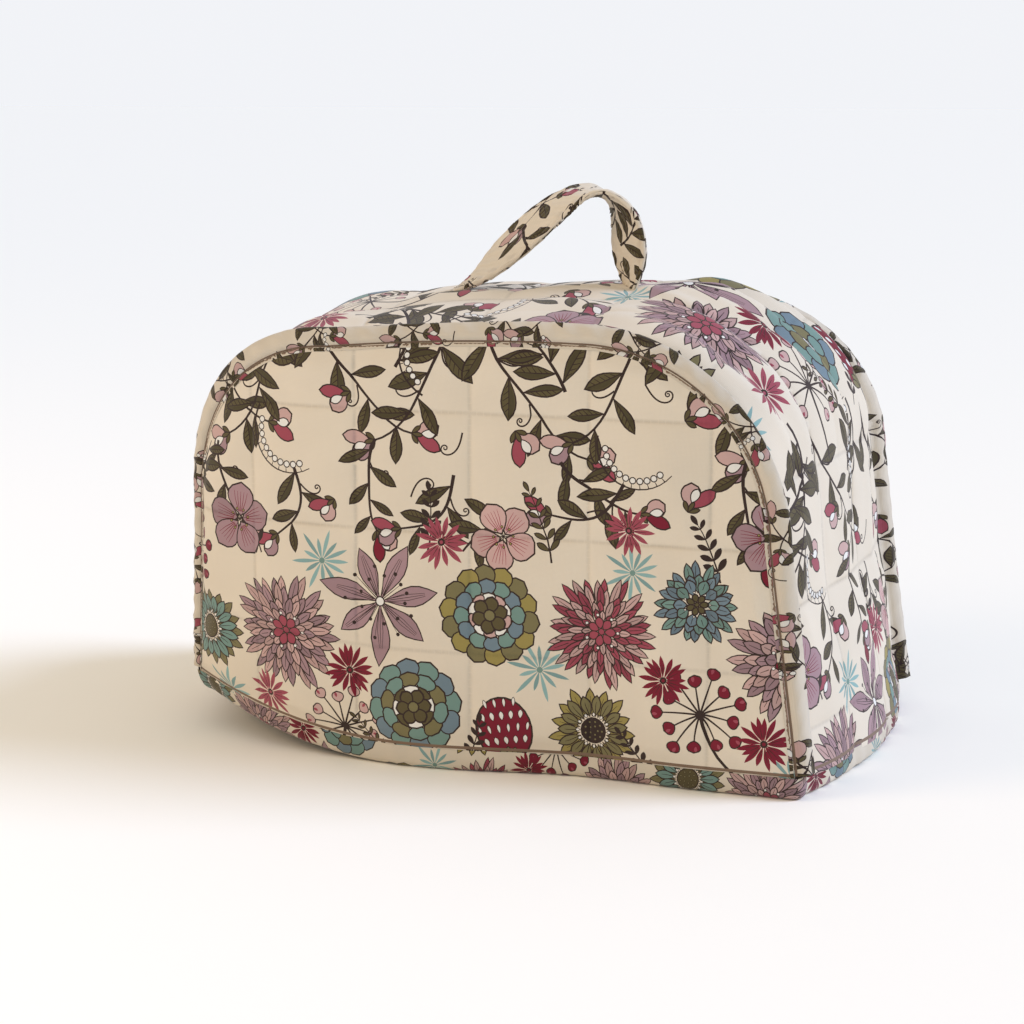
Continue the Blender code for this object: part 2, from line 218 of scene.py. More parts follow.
@dataclass(frozen=True)
class Pen:
    """A place on the print, with the turn and scale that a motif is drawn at."""

    patches: list[Patch]
    x: float = 0.0
    y: float = 0.0
    turn: float = 0.0
    size: float = 1.0

    def moved(self, x: float, y: float, turn: float = 0.0, size: float = 1.0) -> Pen:
        """A pen at x, y of this one, turned and scaled from it."""
        c, s = math.cos(self.turn), math.sin(self.turn)
        there_x = self.x + self.size * (c * x - s * y)
        there_y = self.y + self.size * (s * x + c * y)
        return Pen(self.patches, there_x, there_y, self.turn + turn, self.size * size)

    def fill(self, outline: np.ndarray, dye: Dye, tone: float = 1.0) -> None:
        """Print a closed outline, given in this pen's own units."""
        c, s = math.cos(self.turn), math.sin(self.turn)
        turned = np.asarray(outline, float) @ np.array([[c, s], [-s, c]])
        self.patches.append(Patch(turned * self.size + (self.x, self.y), dye, tone))

    def petal(self, long: float, wide: float, dye: Dye, start: float = 0.0,
              blunt: float = 0.7, line: float = 0.075, tone: float = 1.0) -> None:
        """Print a petal along this pen's direction, with an ink line round it.

        Args:
            long: its length from start to tip.
            wide: its greatest width.
            dye: its colour.
            start: how far from the pen it begins.
            blunt: below 1 the ends are round, above 1 they are pointed.
            line: width of the ink line in cm, or 0 for none.
            tone: how light the dye is.
        """
        thin = line / self.size
        if line:
            self.fill(petal_shape(long, wide, blunt) + (start, 0.0), Dye.INK)
        inside = wide - 2.0 * thin
        if inside > 0.1 * wide:
            shape = petal_shape(long - 2.6 * thin, inside, blunt)
            self.fill(shape + (start + 1.3 * thin, 0.0), dye, tone)

    def disc(self, radius: float, dye: Dye, line: float = 0.075, points: int = 12) -> None:
        """Print a round spot with an ink line round it."""
        angle = np.linspace(0.0, 2.0 * math.pi, points, endpoint=False)
        ring = np.stack([np.cos(angle), np.sin(angle)], -1)
        if line:
            self.fill(ring * radius, Dye.INK)
        inside = radius - line / self.size
        if inside > 0.0:
            self.fill(ring * inside, dye)

    def stroke(self, route: np.ndarray, wide: float, dye: Dye = Dye.INK, ending: float = 0.4) -> None:
        """Print a line along a route.

        Args:
            route: its points, in this pen's own units.
            wide: its width at the start, in cm.
            dye: its colour.
            ending: its width at the end, as a share of wide.
        """
        route = np.asarray(route, float)
        ahead = unit(np.gradient(route, axis=0))
        across = np.stack([-ahead[:, 1], ahead[:, 0]], -1)
        half = 0.5 * wide / self.size * np.linspace(1.0, ending, len(route))[:, None]
        self.fill(np.concatenate([route + across * half, (route - across * half)[::-1]]), dye)


def petal_shape(long: float, wide: float, blunt: float, steps: int = 8) -> np.ndarray:
    """The outline of a petal along x, widest past its middle."""
    t = np.linspace(0.0, 1.0, steps)
    half = 0.5 * wide * np.sin(math.pi * t**1.25) ** blunt
    upper = np.stack([t * long, half], -1)
    return np.concatenate([upper, (upper * (1.0, -1.0))[-2:0:-1]])


def growth(long: float, bend: float, sway: float = 0.0, steps: int = 13) -> np.ndarray:
    """A line that bends as it grows: x, y and heading.

    Args:
        long: its length.
        bend: how far it has turned at its end, in degrees.
        sway: how far it swings to and fro on the way, in degrees.
        steps: how many points to return.

    Returns:
        Rows of x, y and heading in radians.
    """
    t = np.linspace(0.0, 1.0, steps)
    heading = np.radians(bend) * t + np.radians(sway) * np.sin(2.0 * math.pi * t)
    middle = 0.5 * (heading[1:] + heading[:-1])
    pace = long / (steps - 1)
    x = np.concatenate([[0.0], np.cumsum(np.cos(middle)) * pace])
    y = np.concatenate([[0.0], np.cumsum(np.sin(middle)) * pace])
    return np.stack([x, y, heading], -1)


class Motif(Protocol):
    """Something that the print shows."""

    def draw(self, pen: Pen) -> None:
        """Print the motif at the pen."""


@dataclass(frozen=True)
class Leaf:
    """A lance-shaped leaf with a pale rib and fine veins."""

    wide: float = 0.36
    dye: Dye = Dye.OLIVE
    veins: int = 5

    def draw(self, pen: Pen) -> None:
        """Print the leaf along the pen's direction, one half of it darker."""
        pen.petal(1.0, self.wide, self.dye, blunt=0.85, line=0.075)
        half = petal_shape(0.92, 0.72 * self.wide, 0.85)
        half = half[half[:, 1] >= 0.0]
        pen.fill(half + (0.04, 0.0), self.dye, 0.68)
        pen.stroke([(0.0, 0.0), (0.5, 0.01), (0.92, 0.0)], 0.06, Dye.INK)
        for k in range(self.veins):
            at = 0.2 + 0.13 * k
            reach = 0.36 * self.wide * math.sin(math.pi * at)
            pen.stroke([(at, 0.0), (at + 0.1, -reach)], 0.04, Dye.INK, 0.6)


@dataclass(frozen=True)
class Bud:
    """A two-lobed bud in its cup."""

    outer: Dye = Dye.BLUSH
    inner: Dye = Dye.ROSE

    def draw(self, pen: Pen) -> None:
        """Print the bud with its stalk at the pen."""
        pen.moved(0.1, 0.0, 0.5).petal(0.8, 0.62, self.outer, blunt=0.55, line=0.06)
        pen.moved(0.1, 0.0, -0.42).petal(0.95, 0.46, self.inner, blunt=0.6, line=0.06)
        pen.moved(0.25, 0.05, 0.1).petal(0.5, 0.3, Dye.WHITE, blunt=0.6, line=0.05)
        for turn in (-0.8, 0.0, 0.8):
            pen.moved(-0.05, 0.0, turn).petal(0.4, 0.17, Dye.OLIVE, line=0.05)


@dataclass(frozen=True)
class Tendril:
    """A thin line that curls up at its end."""

    curl: float = 620.0
    long: float = 2.6

    def draw(self, pen: Pen) -> None:
        """Print the curl from the pen's place."""
        t = np.linspace(0.0, 1.0, 26)
        heading = np.radians(self.curl) * t**2.2
        pace = self.long / 25 * (1.25 - 0.9 * t)
        route = np.cumsum(np.stack([np.cos(heading) * pace, np.sin(heading) * pace], -1), axis=0)
        pen.stroke(route, 0.08, Dye.INK, 0.7)


@dataclass(frozen=True)
class Vine:
    """A bending stem with leaves on both sides and something at its end."""

    long: float = 7.0
    bend: float = 70.0
    sway: float = 18.0
    leaves: int = 6
    leaf: float = 1.9
    flower: Motif | None = None
    curls: int = 2

    def draw(self, pen: Pen) -> None:
        """Print the vine from its root at the pen."""
        route = growth(self.long, self.bend, self.sway, 18)
        pen.stroke(route[:, :2], 0.16, Dye.INK, 0.55)
        for k in range(self.curls):
            x, y, heading = route[int(4 + 11 * k / max(self.curls, 1))]
            side = -1 if k % 2 else 1
            curl = Tendril(side * (520.0 + 70.0 * k), 2.4)
            curl.draw(pen.moved(x, y, heading + side * 0.5))
        for k in range(self.leaves):
            x, y, heading = route[int(round(2 + 15 * k / self.leaves))]
            side = 1 if k % 2 else -1
            size = self.leaf * (1.0 - 0.35 * k / self.leaves)
            spread = side * math.radians(52 + 9 * math.sin(2.3 * k))
            Leaf(0.32 + 0.03 * (k % 3)).draw(pen.moved(x, y, heading + spread, size))
        if self.flower is not None:
            x, y, heading = route[-1]
            self.flower.draw(pen.moved(x, y, heading, 1.35))


@dataclass(frozen=True)
class Sprig:
    """A straight stalk with pairs of small leaves."""

    long: float = 3.2
    pairs: int = 6
    dye: Dye = Dye.OLIVE

    def draw(self, pen: Pen) -> None:
        """Print the sprig from its foot at the pen."""
        route = growth(self.long, 25.0, 5.0, 9)
        pen.stroke(route[:, :2], 0.09)
        for k in range(self.pairs):
            share = (k + 1) / (self.pairs + 0.4)
            x, y, heading = read_along(route, np.array([share]))[0]
            for side in (-1, 1):
                small = pen.moved(x, y, heading + side * 0.85, 0.75 - 0.3 * share)
                small.petal(1.0, 0.42, self.dye, line=0.05)
        x, y, heading = route[-1]
        pen.moved(x, y, heading, 0.55).petal(1.0, 0.42, self.dye, line=0.05)


@dataclass(frozen=True)
class BeadArc:
    """A bent stalk hung with small round seeds."""

    radius: float = 1.7
    sweep: float = 150.0
    beads: int = 11

    def draw(self, pen: Pen) -> None:
        """Print the arc, which starts at the pen."""
        route = growth(self.radius * math.radians(self.sweep), self.sweep, 0.0, 16)
        pen.stroke(route[:, :2], 0.1)
        for k in range(self.beads):
            x, y, heading = read_along(route, np.array([(k + 1.5) / (self.beads + 1.5)]))[0]
            bead = pen.moved(x, y, heading + math.pi / 2)
            bead.stroke([(0.0, 0.0), (0.22, 0.02)], 0.05)
            bead.moved(0.32, 0.0).disc(0.15, Dye.WHITE, 0.05, 9)


@dataclass(frozen=True)
class Dahlia:
    """A round bloom with rings of narrow petals."""

    petals: int = 28
    rings: int = 4
    dyes: tuple[Dye, ...] = (Dye.MAUVE, Dye.BLUSH)
    heart: Dye = Dye.ROSE

    def draw(self, pen: Pen) -> None:
        """Print the bloom, one unit in radius."""
        for ring in range(self.rings):
            share = 1.0 - 0.2 * ring
            count = self.petals - 5 * ring
            for k in range(count):
                turn = 2.0 * math.pi * (k + 0.5 * (ring % 2)) / count
                reach = share * (1.0 + 0.08 * math.sin(5.3 * k + 2.1 * ring))
                dye = self.dyes[(k + ring) % len(self.dyes)]
                tone = 0.9 + 0.12 * math.sin(3.7 * k + ring)
                one = pen.moved(0.0, 0.0, turn + 0.05 * math.sin(9.1 * k))
                start = 0.34 * share
                one.petal(reach - start, 5.0 * share / count, dye, start, 0.75, 0.055, tone)
                one.stroke([(0.6 * reach, 0.0), (0.86 * reach, 0.0)], 0.035, Dye.INK, 0.6)
        for k in range(7):
            one = pen.moved(0.0, 0.0, 2.0 * math.pi * k / 7)
            one.petal(0.24, 0.17, self.heart, 0.04, 0.6, 0.05)
            one.moved(0.3, 0.0).disc(0.035, Dye.WHITE, 0.03, 7)
        pen.disc(0.07, self.heart, 0.05, 9)


@dataclass(frozen=True)
class Daisy:
    """A flower with two rings of petals round a dotted centre."""

    petals: int = 17
    dyes: tuple[Dye, Dye] = (Dye.MOSS, Dye.TEAL)
    centre: Dye = Dye.OLIVE

    def draw(self, pen: Pen) -> None:
        """Print the flower, one unit in radius."""
        for ring in range(2):
            for k in range(self.petals):
                turn = 2.0 * math.pi * (k + 0.5 * ring) / self.petals
                reach = (1.0 - 0.16 * ring) * (1.0 + 0.06 * math.sin(4.1 * k))
                one = pen.moved(0.0, 0.0, turn)
                one.petal(reach - 0.3, 0.25, self.dyes[ring], 0.3, 0.8, 0.06)
                one.stroke([(0.36, 0.0), (0.6, 0.01), (0.8 * reach, 0.0)], 0.04)
        for k in range(12):
            pen.moved(0.0, 0.0, 2.0 * math.pi * k / 12).petal(0.12, 0.08, Dye.WHITE, 0.3, 0.8, 0.03)
        pen.disc(0.3, self.centre, 0.07, 18)
        for ring, count in ((0.2, 9), (0.1, 5)):
            for k in range(count):
                spot = pen.moved(0.0, 0.0, 2.0 * math.pi * k / count).moved(ring, 0.0)
                spot.disc(0.035, Dye.MOSS, 0.025, 6)


@dataclass(frozen=True)
class StarFlower:
    """A flower of long pointed petals with fine stamens."""

    petals: int = 7
    dye: Dye = Dye.MAUVE

    def draw(self, pen: Pen) -> None:
        """Print the flower, one unit in radius."""
        for k in range(self.petals):
            one = pen.moved(0.0, 0.0, 2.0 * math.pi * k / self.petals)
            reach = 1.0 + 0.1 * math.sin(2.7 * k)
            one.petal(reach, 0.36, self.dye, 0.02, 1.05, 0.06, 1.0 + 0.08 * math.sin(1.9 * k))
            for side in (-0.05, 0.0, 0.05):
                one.stroke([(0.12, 0.4 * side), (0.5, side), (0.8, 0.5 * side)], 0.035, Dye.INK, 0.5)
        for k in range(18):
            one = pen.moved(0.0, 0.0, 2.0 * math.pi * (k + 0.4) / 18)
            reach = 0.5 + 0.14 * math.sin(3.3 * k)
            one.stroke([(0.05, 0.0), (reach, 0.0)], 0.045)
            one.moved(reach, 0.0).disc(0.035, Dye.INK, 0.0, 6)
        pen.disc(0.09, Dye.WHITE, 0.06, 10)


@dataclass(frozen=True)
class ScaleRose:
    """A rosette of round scales whose colour changes from ring to ring."""

    rings: tuple[tuple[Dye, ...], ...] = (
        (Dye.OCHRE, Dye.MOSS),
        (Dye.SLATE, Dye.TEAL),
        (Dye.WHITE, Dye.BLUSH),
    )
    scales: int = 14

    def draw(self, pen: Pen) -> None:
        """Print the rosette, one unit in radius."""
        for ring, dyes in enumerate(self.rings):
            share = 1.0 - 0.27 * ring
            count = self.scales - 2 * ring
            for k in range(count):
                one = pen.moved(0.0, 0.0, 2.0 * math.pi * (k + 0.5 * (ring % 2)) / count)
                wide = 6.4 * share / count
                dye = dyes[k % len(dyes)]
                one.petal(0.5 * share, wide, dye, 0.5 * share, 0.5, 0.06)
        for k in range(6):
            pen.moved(0.0, 0.0, math.pi * k / 3).petal(0.36, 0.3, Dye.OLIVE, 0.03, 0.6, 0.07)
        pen.disc(0.13, Dye.MOSS, 0.07, 10)


@dataclass(frozen=True)
class Umbel:
    """A round head of bent stalks with a berry on each."""

    stalks: int = 13
    spread: float = 300.0
    dye: Dye = Dye.BURGUNDY

    def draw(self, pen: Pen) -> None:
        """Print the umbel, whose hub is at the pen and whose head opens ahead."""
        pen.moved(0.0, 0.0, math.pi).stroke(growth(1.5, 40.0, 0.0, 7)[:, :2], 0.16, Dye.INK, 0.8)
        for k in range(self.stalks):
            share = k / (self.stalks - 1) - 0.5
            route = growth(0.62 + 0.2 * (k % 2), 36.0 * share, 0.0, 6)
            one = pen.moved(0.0, 0.0, math.radians(self.spread) * share)
            one.stroke(route[:, :2], 0.09, Dye.INK, 0.7)
            x, y, heading = route[-1]
            berry = one.moved(x, y, heading)
            berry.moved(-0.04, 0.0).petal(0.3, 0.32, self.dye, 0.0, 0.5, 0.05)
            berry.moved(0.1, 0.04).petal(0.12, 0.07, Dye.ROSE, 0.0, 0.6, 0.0)


@dataclass(frozen=True)
class Burst:
    """A ragged flower of narrow pointed petals with no line round them."""

    petals: int = 17
    dye: Dye = Dye.BURGUNDY
    line: float = 0.0

    def draw(self, pen: Pen) -> None:
        """Print the flower, one unit in radius."""
        for k in range(self.petals):
            one = pen.moved(0.0, 0.0, 2.0 * math.pi * k / self.petals + 0.1 * math.sin(5.0 * k))
            reach = 0.9 + 0.16 * math.sin(3.1 * k)
            one.petal(reach, 0.2, self.dye, 0.08, 0.9, self.line)
            one.stroke([(0.25, 0.0), (0.7 * reach, 0.0)], 0.035, Dye.INK, 0.4)
        pen.disc(0.14, Dye.INK, 0.0, 9)
        pen.disc(0.07, self.dye, 0.0, 7)


@dataclass(frozen=True)
class Blossom:
    """An open flower of broad veined petals."""

    petals: int = 5
    dye: Dye = Dye.MAUVE
    heart: Dye = Dye.BURGUNDY

    def draw(self, pen: Pen) -> None:
        """Print the flower, one unit in radius."""
        for k in range(self.petals):
            one = pen.moved(0.0, 0.0, 2.0 * math.pi * k / self.petals + 0.12 * math.sin(4.0 * k))
            one.petal(0.95, 0.82, self.dye, 0.06, 0.62, 0.065, 1.0 + 0.1 * math.sin(2.2 * k))
            for side in (-0.2, -0.1, 0.0, 0.1, 0.2):
                bent = [(0.2, 0.3 * side), (0.5, 0.8 * side), (0.74, side)]
                one.stroke(bent, 0.04, self.heart, 0.4)
        for k in range(8):
            one = pen.moved(0.0, 0.0, 2.0 * math.pi * k / 8)
            one.stroke([(0.0, 0.0), (0.26, 0.0)], 0.045)
            one.moved(0.28, 0.0).disc(0.045, Dye.OCHRE, 0.03, 7)


@dataclass(frozen=True)
class SeedHead:
    """A round head of short curved scales in a cup, on a stalk."""

    dye: Dye = Dye.BURGUNDY
    light: Dye = Dye.WHITE
    rows: int = 4

    def draw(self, pen: Pen) -> None:
        """Print the head, one unit in radius, with its stalk behind the pen."""
        pen.moved(-0.6, 0.0, math.pi).stroke(growth(1.5, 30.0, 0.0, 7)[:, :2], 0.12)
        angle = np.linspace(0.0, 2.0 * math.pi, 24, endpoint=False)
        ring = np.stack([0.95 * np.cos(angle), 0.8 * np.sin(angle)], -1)
        pen.fill(ring, Dye.INK)
        pen.fill(ring * 0.94, self.dye)
        for row in range(self.rows):
            x = -0.45 + 0.36 * row
            count = 6 - abs(row - 1)
            for k in range(count):
                y = (k - 0.5 * (count - 1)) * 0.25
                wide = 0.11 if row % 2 else 0.15
                one = pen.moved(x, y, 0.5 * y)
                one.petal(0.28, wide, self.light, 0.0, 0.7, 0.03)
        for turn in (-0.9, -0.45, 0.0, 0.45, 0.9):
            pen.moved(-0.98, 0.0, turn).petal(0.5, 0.24, Dye.MOSS, 0.0, 0.8, 0.05)


@dataclass(frozen=True)
class Spray:
    """A pale spray of thin rays, with no ink."""

    rays: int = 13
    dye: Dye = Dye.AQUA

    def draw(self, pen: Pen) -> None:
        """Print the spray, one unit in radius."""
        for k in range(self.rays):
            one = pen.moved(0.0, 0.0, 2.0 * math.pi * k / self.rays + 0.15 * math.sin(6.0 * k))
            reach = 0.85 + 0.2 * math.sin(2.9 * k)
            one.petal(reach, 0.13, self.dye, 0.04, 0.8, 0.0, 1.0 - 0.12 * (k % 3))
        pen.disc(0.1, Dye.TEAL, 0.0, 8)


MOTIFS: dict[str, Motif] = {
    "vine": Vine(7.0, 80.0, 18.0, 7, 2.0, Bud()),
    "vine_left": Vine(6.4, -95.0, -14.0, 6, 2.1, Bud(Dye.MAUVE, Dye.BLUSH)),
    "short_vine": Vine(4.2, 60.0, 10.0, 5, 1.7, Bud(Dye.BLUSH, Dye.BURGUNDY), 1),
    "short_left": Vine(4.0, -70.0, 12.0, 4, 1.9, Bud(Dye.MAUVE, Dye.ROSE), 1),
    "leaves": Vine(2.6, 35.0, 0.0, 5, 1.9, None, 0),
    "bud": Bud(),
    "curl": Tendril(640.0, 3.0),
    "curl_left": Tendril(-560.0, 2.8),
    "sprig": Sprig(),
    "dark_sprig": Sprig(2.6, 5, Dye.INK),
    "beads": BeadArc(),
    "beads_left": BeadArc(1.9, -140.0, 12),
    "dahlia": Dahlia(),
    "red_dahlia": Dahlia(24, 4, (Dye.BLUSH, Dye.MAUVE), Dye.BURGUNDY),
    "pink_dahlia": Dahlia(30, 4, (Dye.BLUSH, Dye.ROSE), Dye.ROSE),
    "teal_dahlia": Dahlia(20, 3, (Dye.TEAL, Dye.SLATE), Dye.OLIVE),
    "daisy": Daisy(),
    "ochre_daisy": Daisy(15, (Dye.OCHRE, Dye.MOSS), Dye.INK),
    "star": StarFlower(),
    "rose": ScaleRose(),
    "teal_rose": ScaleRose(((Dye.TEAL, Dye.SLATE), (Dye.MOSS, Dye.TEAL), (Dye.WHITE, Dye.OLIVE)), 12),
    "umbel": Umbel(),
    "small_umbel": Umbel(11, 250.0, Dye.BLUSH),
    "burst": Burst(),
    "dark_burst": Burst(15, Dye.ROSE),
    "blossom": Blossom(),
    "pink_blossom": Blossom(5, Dye.BLUSH, Dye.ROSE),
    "seed_head": SeedHead(),
    "pale_head": SeedHead(Dye.MOSS, Dye.WHITE, 4),
    "spray": Spray(),
}

# One repeat of the print: motif, x and y in cm, size, turn in degrees
LAYOUT: tuple[tuple[str, float, float, float, float], ...] = (
    # hanging vines
    ("vine", 0.8, 20.6, 1.1, -86),
    ("vine_left", 5.9, 20.8, 1.1, -62),
    ("vine", 8.2, 20.4, 1.05, -88),
    ("vine_left", 14.2, 20.6, 1.1, -70),
    ("vine", 16.2, 20.2, 1.1, -92),
    ("vine_left", 22.6, 20.8, 1.05, -66),
    ("vine", 24.2, 20.4, 1.1, -90),
    ("vine_left", 30.6, 20.6, 1.1, -68),
    # short vines between them
    ("short_vine", 3.0, 14.2, 1.0, -100),
    ("short_left", 7.2, 13.6, 1.0, -70),
    ("short_vine", 11.2, 14.8, 1.0, -120),
    ("short_left", 14.8, 13.4, 1.0, -100),
    ("short_vine", 19.6, 14.2, 1.0, -60),
    ("short_left", 22.4, 13.4, 1.0, -120),
    ("short_vine", 27.6, 14.6, 1.0, -110),
    ("short_left", 31.4, 13.8, 1.0, -50),
    ("leaves", 4.4, 17.6, 1.1, 20),
    ("leaves", 12.2, 18.0, 1.0, 60),
    ("leaves", 19.8, 17.2, 1.1, 110),
    ("leaves", 28.2, 17.8, 1.1, 150),
    ("leaves", 17.2, 11.6, 1.0, -160),
    ("leaves", 0.6, 12.2, 1.0, 30),
    ("beads", 5.4, 16.0, 1.15, -120),
    ("beads_left", 13.4, 16.8, 1.1, -30),
    ("beads", 21.2, 15.4, 1.1, -100),
    ("beads_left", 30.6, 17.4, 1.1, -20),
    ("bud", 2.6, 18.6, 1.5, 80),
    ("bud", 10.0, 16.8, 1.4, 200),
    ("bud", 17.6, 15.4, 1.5, -60),
    ("bud", 25.0, 16.2, 1.5, 20),
    ("bud", 9.2, 12.0, 1.3, -140),
    ("bud", 25.2, 12.4, 1.4, 60),
    ("curl", 6.8, 18.4, 1.1, 30),
    ("curl_left", 15.2, 15.4, 1.1, -100),
    ("curl", 23.2, 17.8, 1.1, -60),
    ("curl_left", 12.8, 12.2, 1.1, 70),
    ("curl", 29.2, 15.6, 1.1, 160),
    ("curl", 1.6, 16.4, 1.1, -30),
    ("curl_left", 20.6, 12.0, 1.0, 20),
    ("sprig", 19.2, 9.8, 1.0, 95),
    ("sprig", 30.6, 9.8, 1.0, 70),
    ("dark_sprig", 5.4, 9.2, 1.0, 110),
    ("dark_sprig", 13.6, 10.0, 1.0, 75),
    ("dark_sprig", 26.6, 9.4, 1.0, 100),
    # blooms
    ("spray", 8.6, 9.2, 1.4, 0),
    ("spray", 22.8, 9.6, 1.3, 20),
    ("spray", 3.0, 1.2, 1.5, 10),
    ("spray", 18.6, 5.0, 1.4, 40),
    ("spray", 29.8, 1.0, 1.3, 0),
    ("umbel", 25.8, 3.6, 2.0, 100),
    ("small_umbel", 9.6, 1.6, 1.9, 75),
    ("umbel", 0.4, 8.6, 1.9, 95),
    ("blossom", 4.0, 10.6, 1.8, 15),
    ("pink_blossom", 17.0, 10.8, 1.6, 50),
    ("blossom", 28.6, 11.4, 1.6, 30),
    ("daisy", 1.9, 4.6, 2.2, 5),
    ("dahlia", 6.6, 5.6, 2.8, 0),
    ("teal_rose", 13.0, 3.0, 2.2, 10),
    ("star", 11.4, 7.6, 2.7, 12),
    ("rose", 16.4, 7.3, 2.3, 20),
    ("red_dahlia", 29.6, 6.2, 2.6, 0),
    ("pink_dahlia", 21.4, 6.9, 2.5, 0),
    ("burst", 9.9, 4.3, 1.2, 0),
    ("seed_head", 17.0, 2.2, 1.6, 100),
    ("ochre_daisy", 21.0, 2.4, 2.0, 0),
    ("teal_dahlia", 25.6, 8.4, 1.8, 0),
    ("burst", 24.2, 5.0, 1.1, 30),
    ("pale_head", 31.6, 2.6, 1.4, 80),
    ("dark_burst", 14.2, 10.4, 1.2, 0),
    ("dark_burst", 5.7, 2.2, 1.2, 0),
    ("burst", 28.6, 2.6, 1.2, 0),
    ("dark_burst", 22.6, 11.4, 1.1, 40),
    ("dark_sprig", 15.2, 0.2, 0.9, 60),
    ("dark_sprig", 23.6, 0.4, 0.9, 110),
    ("sprig", 11.9, 0.2, 0.8, 120),
)


def draw_repeat() -> list[Patch]:
    """Every printed shape of one repeat, the lowest first."""
    patches: list[Patch] = []
    pen = Pen(patches)
    for name, x, y, size, turn in LAYOUT:
        MOTIFS[name].draw(pen.moved(x, y, math.radians(turn), size))
    return patches


@dataclass
class Bolt:
    """The bolt of printed cloth that the pieces are cut from."""

    patches: list[Patch] = field(default_factory=draw_repeat)

    def window(self, low: np.ndarray, high: np.ndarray) -> list[Patch]:
        """The printed shapes that reach into a box of cloth, repeats included.

        Args:
            low: the box's least x and y, in cm.
            high: its greatest x and y.

        Returns:
            The shapes, moved to where they repeat, the lowest first.
        """
        found = []
        columns = range(math.floor(low[0] / REPEAT_WIDE) - 1, math.ceil(high[0] / REPEAT_WIDE) + 1)
        rows = range(math.floor(low[1] / REPEAT_TALL) - 1, math.ceil(high[1] / REPEAT_TALL) + 1)
        for patch in self.patches:
            for column in columns:
                for row in rows:
                    moved = patch.outline + (column * REPEAT_WIDE, row * REPEAT_TALL)
                    if (moved.max(0) > low).all() and (moved.min(0) < high).all():
                        found.append(Patch(moved, patch.dye, patch.tone))
        return found


@dataclass(frozen=True)
class Square:
    """One square of cloth, cut on its own so that the cutting stays quick."""

    start: np.ndarray
    size: np.ndarray
    per_side: np.ndarray
    per_edge: np.ndarray

    def border(self) -> np.ndarray:
        """Its edge, anticlockwise, in even steps."""
        across = np.arange(self.per_edge[0]) / self.per_edge[0]
        up = np.arange(self.per_edge[1]) / self.per_edge[1]
        bottom = np.stack([across, 0.0 * across], -1)
        right = np.stack([0.0 * up + 1.0, up], -1)
        top = np.stack([1.0 - across, 0.0 * across + 1.0], -1)
        left = np.stack([0.0 * up, 1.0 - up], -1)
        return self.start + np.concatenate([bottom, right, top, left]) * self.size

    def inner(self) -> np.ndarray:
        """Points inside it, in even steps."""
        across = (np.arange(self.per_side[0] - 1) + 1.0) / self.per_side[0]
        up = (np.arange(self.per_side[1] - 1) + 1.0) / self.per_side[1]
        return self.start + np.stack(np.meshgrid(across, up), -1).reshape(-1, 2) * self.size

    def triangles(self, outline: np.ndarray,
                  shapes: list[np.ndarray]) -> tuple[np.ndarray, np.ndarray, list[int]]:
        """Cut the part of a piece that lies in this square.

        Args:
            outline: the whole piece's outline.
            shapes: outlines of the printed shapes that reach into the square.

        Returns:
            Points, triangles, and for each triangle the number of the shape on
            top, or -1 where the cloth is bare.
        """
        chains = [self.border(), outline, *shapes]
        points = [self.inner()]
        edges = []
        begin = len(points[0])
        for chain in chains:
            ahead = np.roll(chain, -1, 0)
            touches = (np.minimum(chain, ahead) <= self.start + self.size).all(1)
            touches &= (np.maximum(chain, ahead) >= self.start).all(1)
            for k in np.nonzero(touches)[0]:
                points.append(chain[[k, (k + 1) % len(chain)]])
                edges.append((begin, begin + 1))
                begin += 2
        coords = [Vector((float(x), float(y))) for x, y in np.concatenate(points)]
        made, _, faces, _, _, _ = delaunay_2d_cdt(coords, edges, [], 0, SAME_POINT, False)
        flat = np.array([tuple(v) for v in made]).reshape(-1, 2)
        cut = np.array(faces, int).reshape(-1, 3)
        centres = flat[cut].mean(1)
        inside = (centres > self.start).all(1) & (centres < self.start + self.size).all(1)
        cut, centres = cut[inside], centres[inside]
        inside = covered(centres, outline)
        cut, centres = cut[inside], centres[inside]
        tops = np.full(len(cut), -1)
        for number, shape in enumerate(shapes):
            near = ((centres > shape.min(0)) & (centres < shape.max(0))).all(1)
            where = np.nonzero(near)[0]
            tops[where[covered(centres[where], shape)]] = number
        return flat, cut, tops.tolist()


def covered(points: np.ndarray, outline: np.ndarray) -> np.ndarray:
    """Which points lie inside a closed outline."""
    ahead = np.roll(outline, -1, 0)
    x, y = points[:, :1], points[:, 1:]
    rising = (outline[:, 1] <= y) & (ahead[:, 1] > y)
    falling = (outline[:, 1] > y) & (ahead[:, 1] <= y)
    long = ahead - outline
    side = long[:, 0] * (y - outline[:, 1]) - (x - outline[:, 0]) * long[:, 1]
    return (rising & (side > 0)).sum(1) != (falling & (side < 0)).sum(1)


def joined(points: np.ndarray) -> tuple[np.ndarray, np.ndarray]:
    """Join points that lie within SAME_POINT of each other.

    Args:
        points: the points, one row each.

    Returns:
        The points that are left, and for each given point its number among them.
    """
    index = np.arange(len(points))
    left = points
    for offset in ((0.0, 0.0), (0.5, 0.5), (0.5, 0.0), (0.0, 0.5)):
        cell = np.floor(left / SAME_POINT + offset).astype(np.int64)
        key = cell[:, 0] * 10**8 + cell[:, 1]
        _, first, inverse = np.unique(key, return_index=True, return_inverse=True)
        left = left[first]
        index = inverse.reshape(-1)[index]
    return left, index


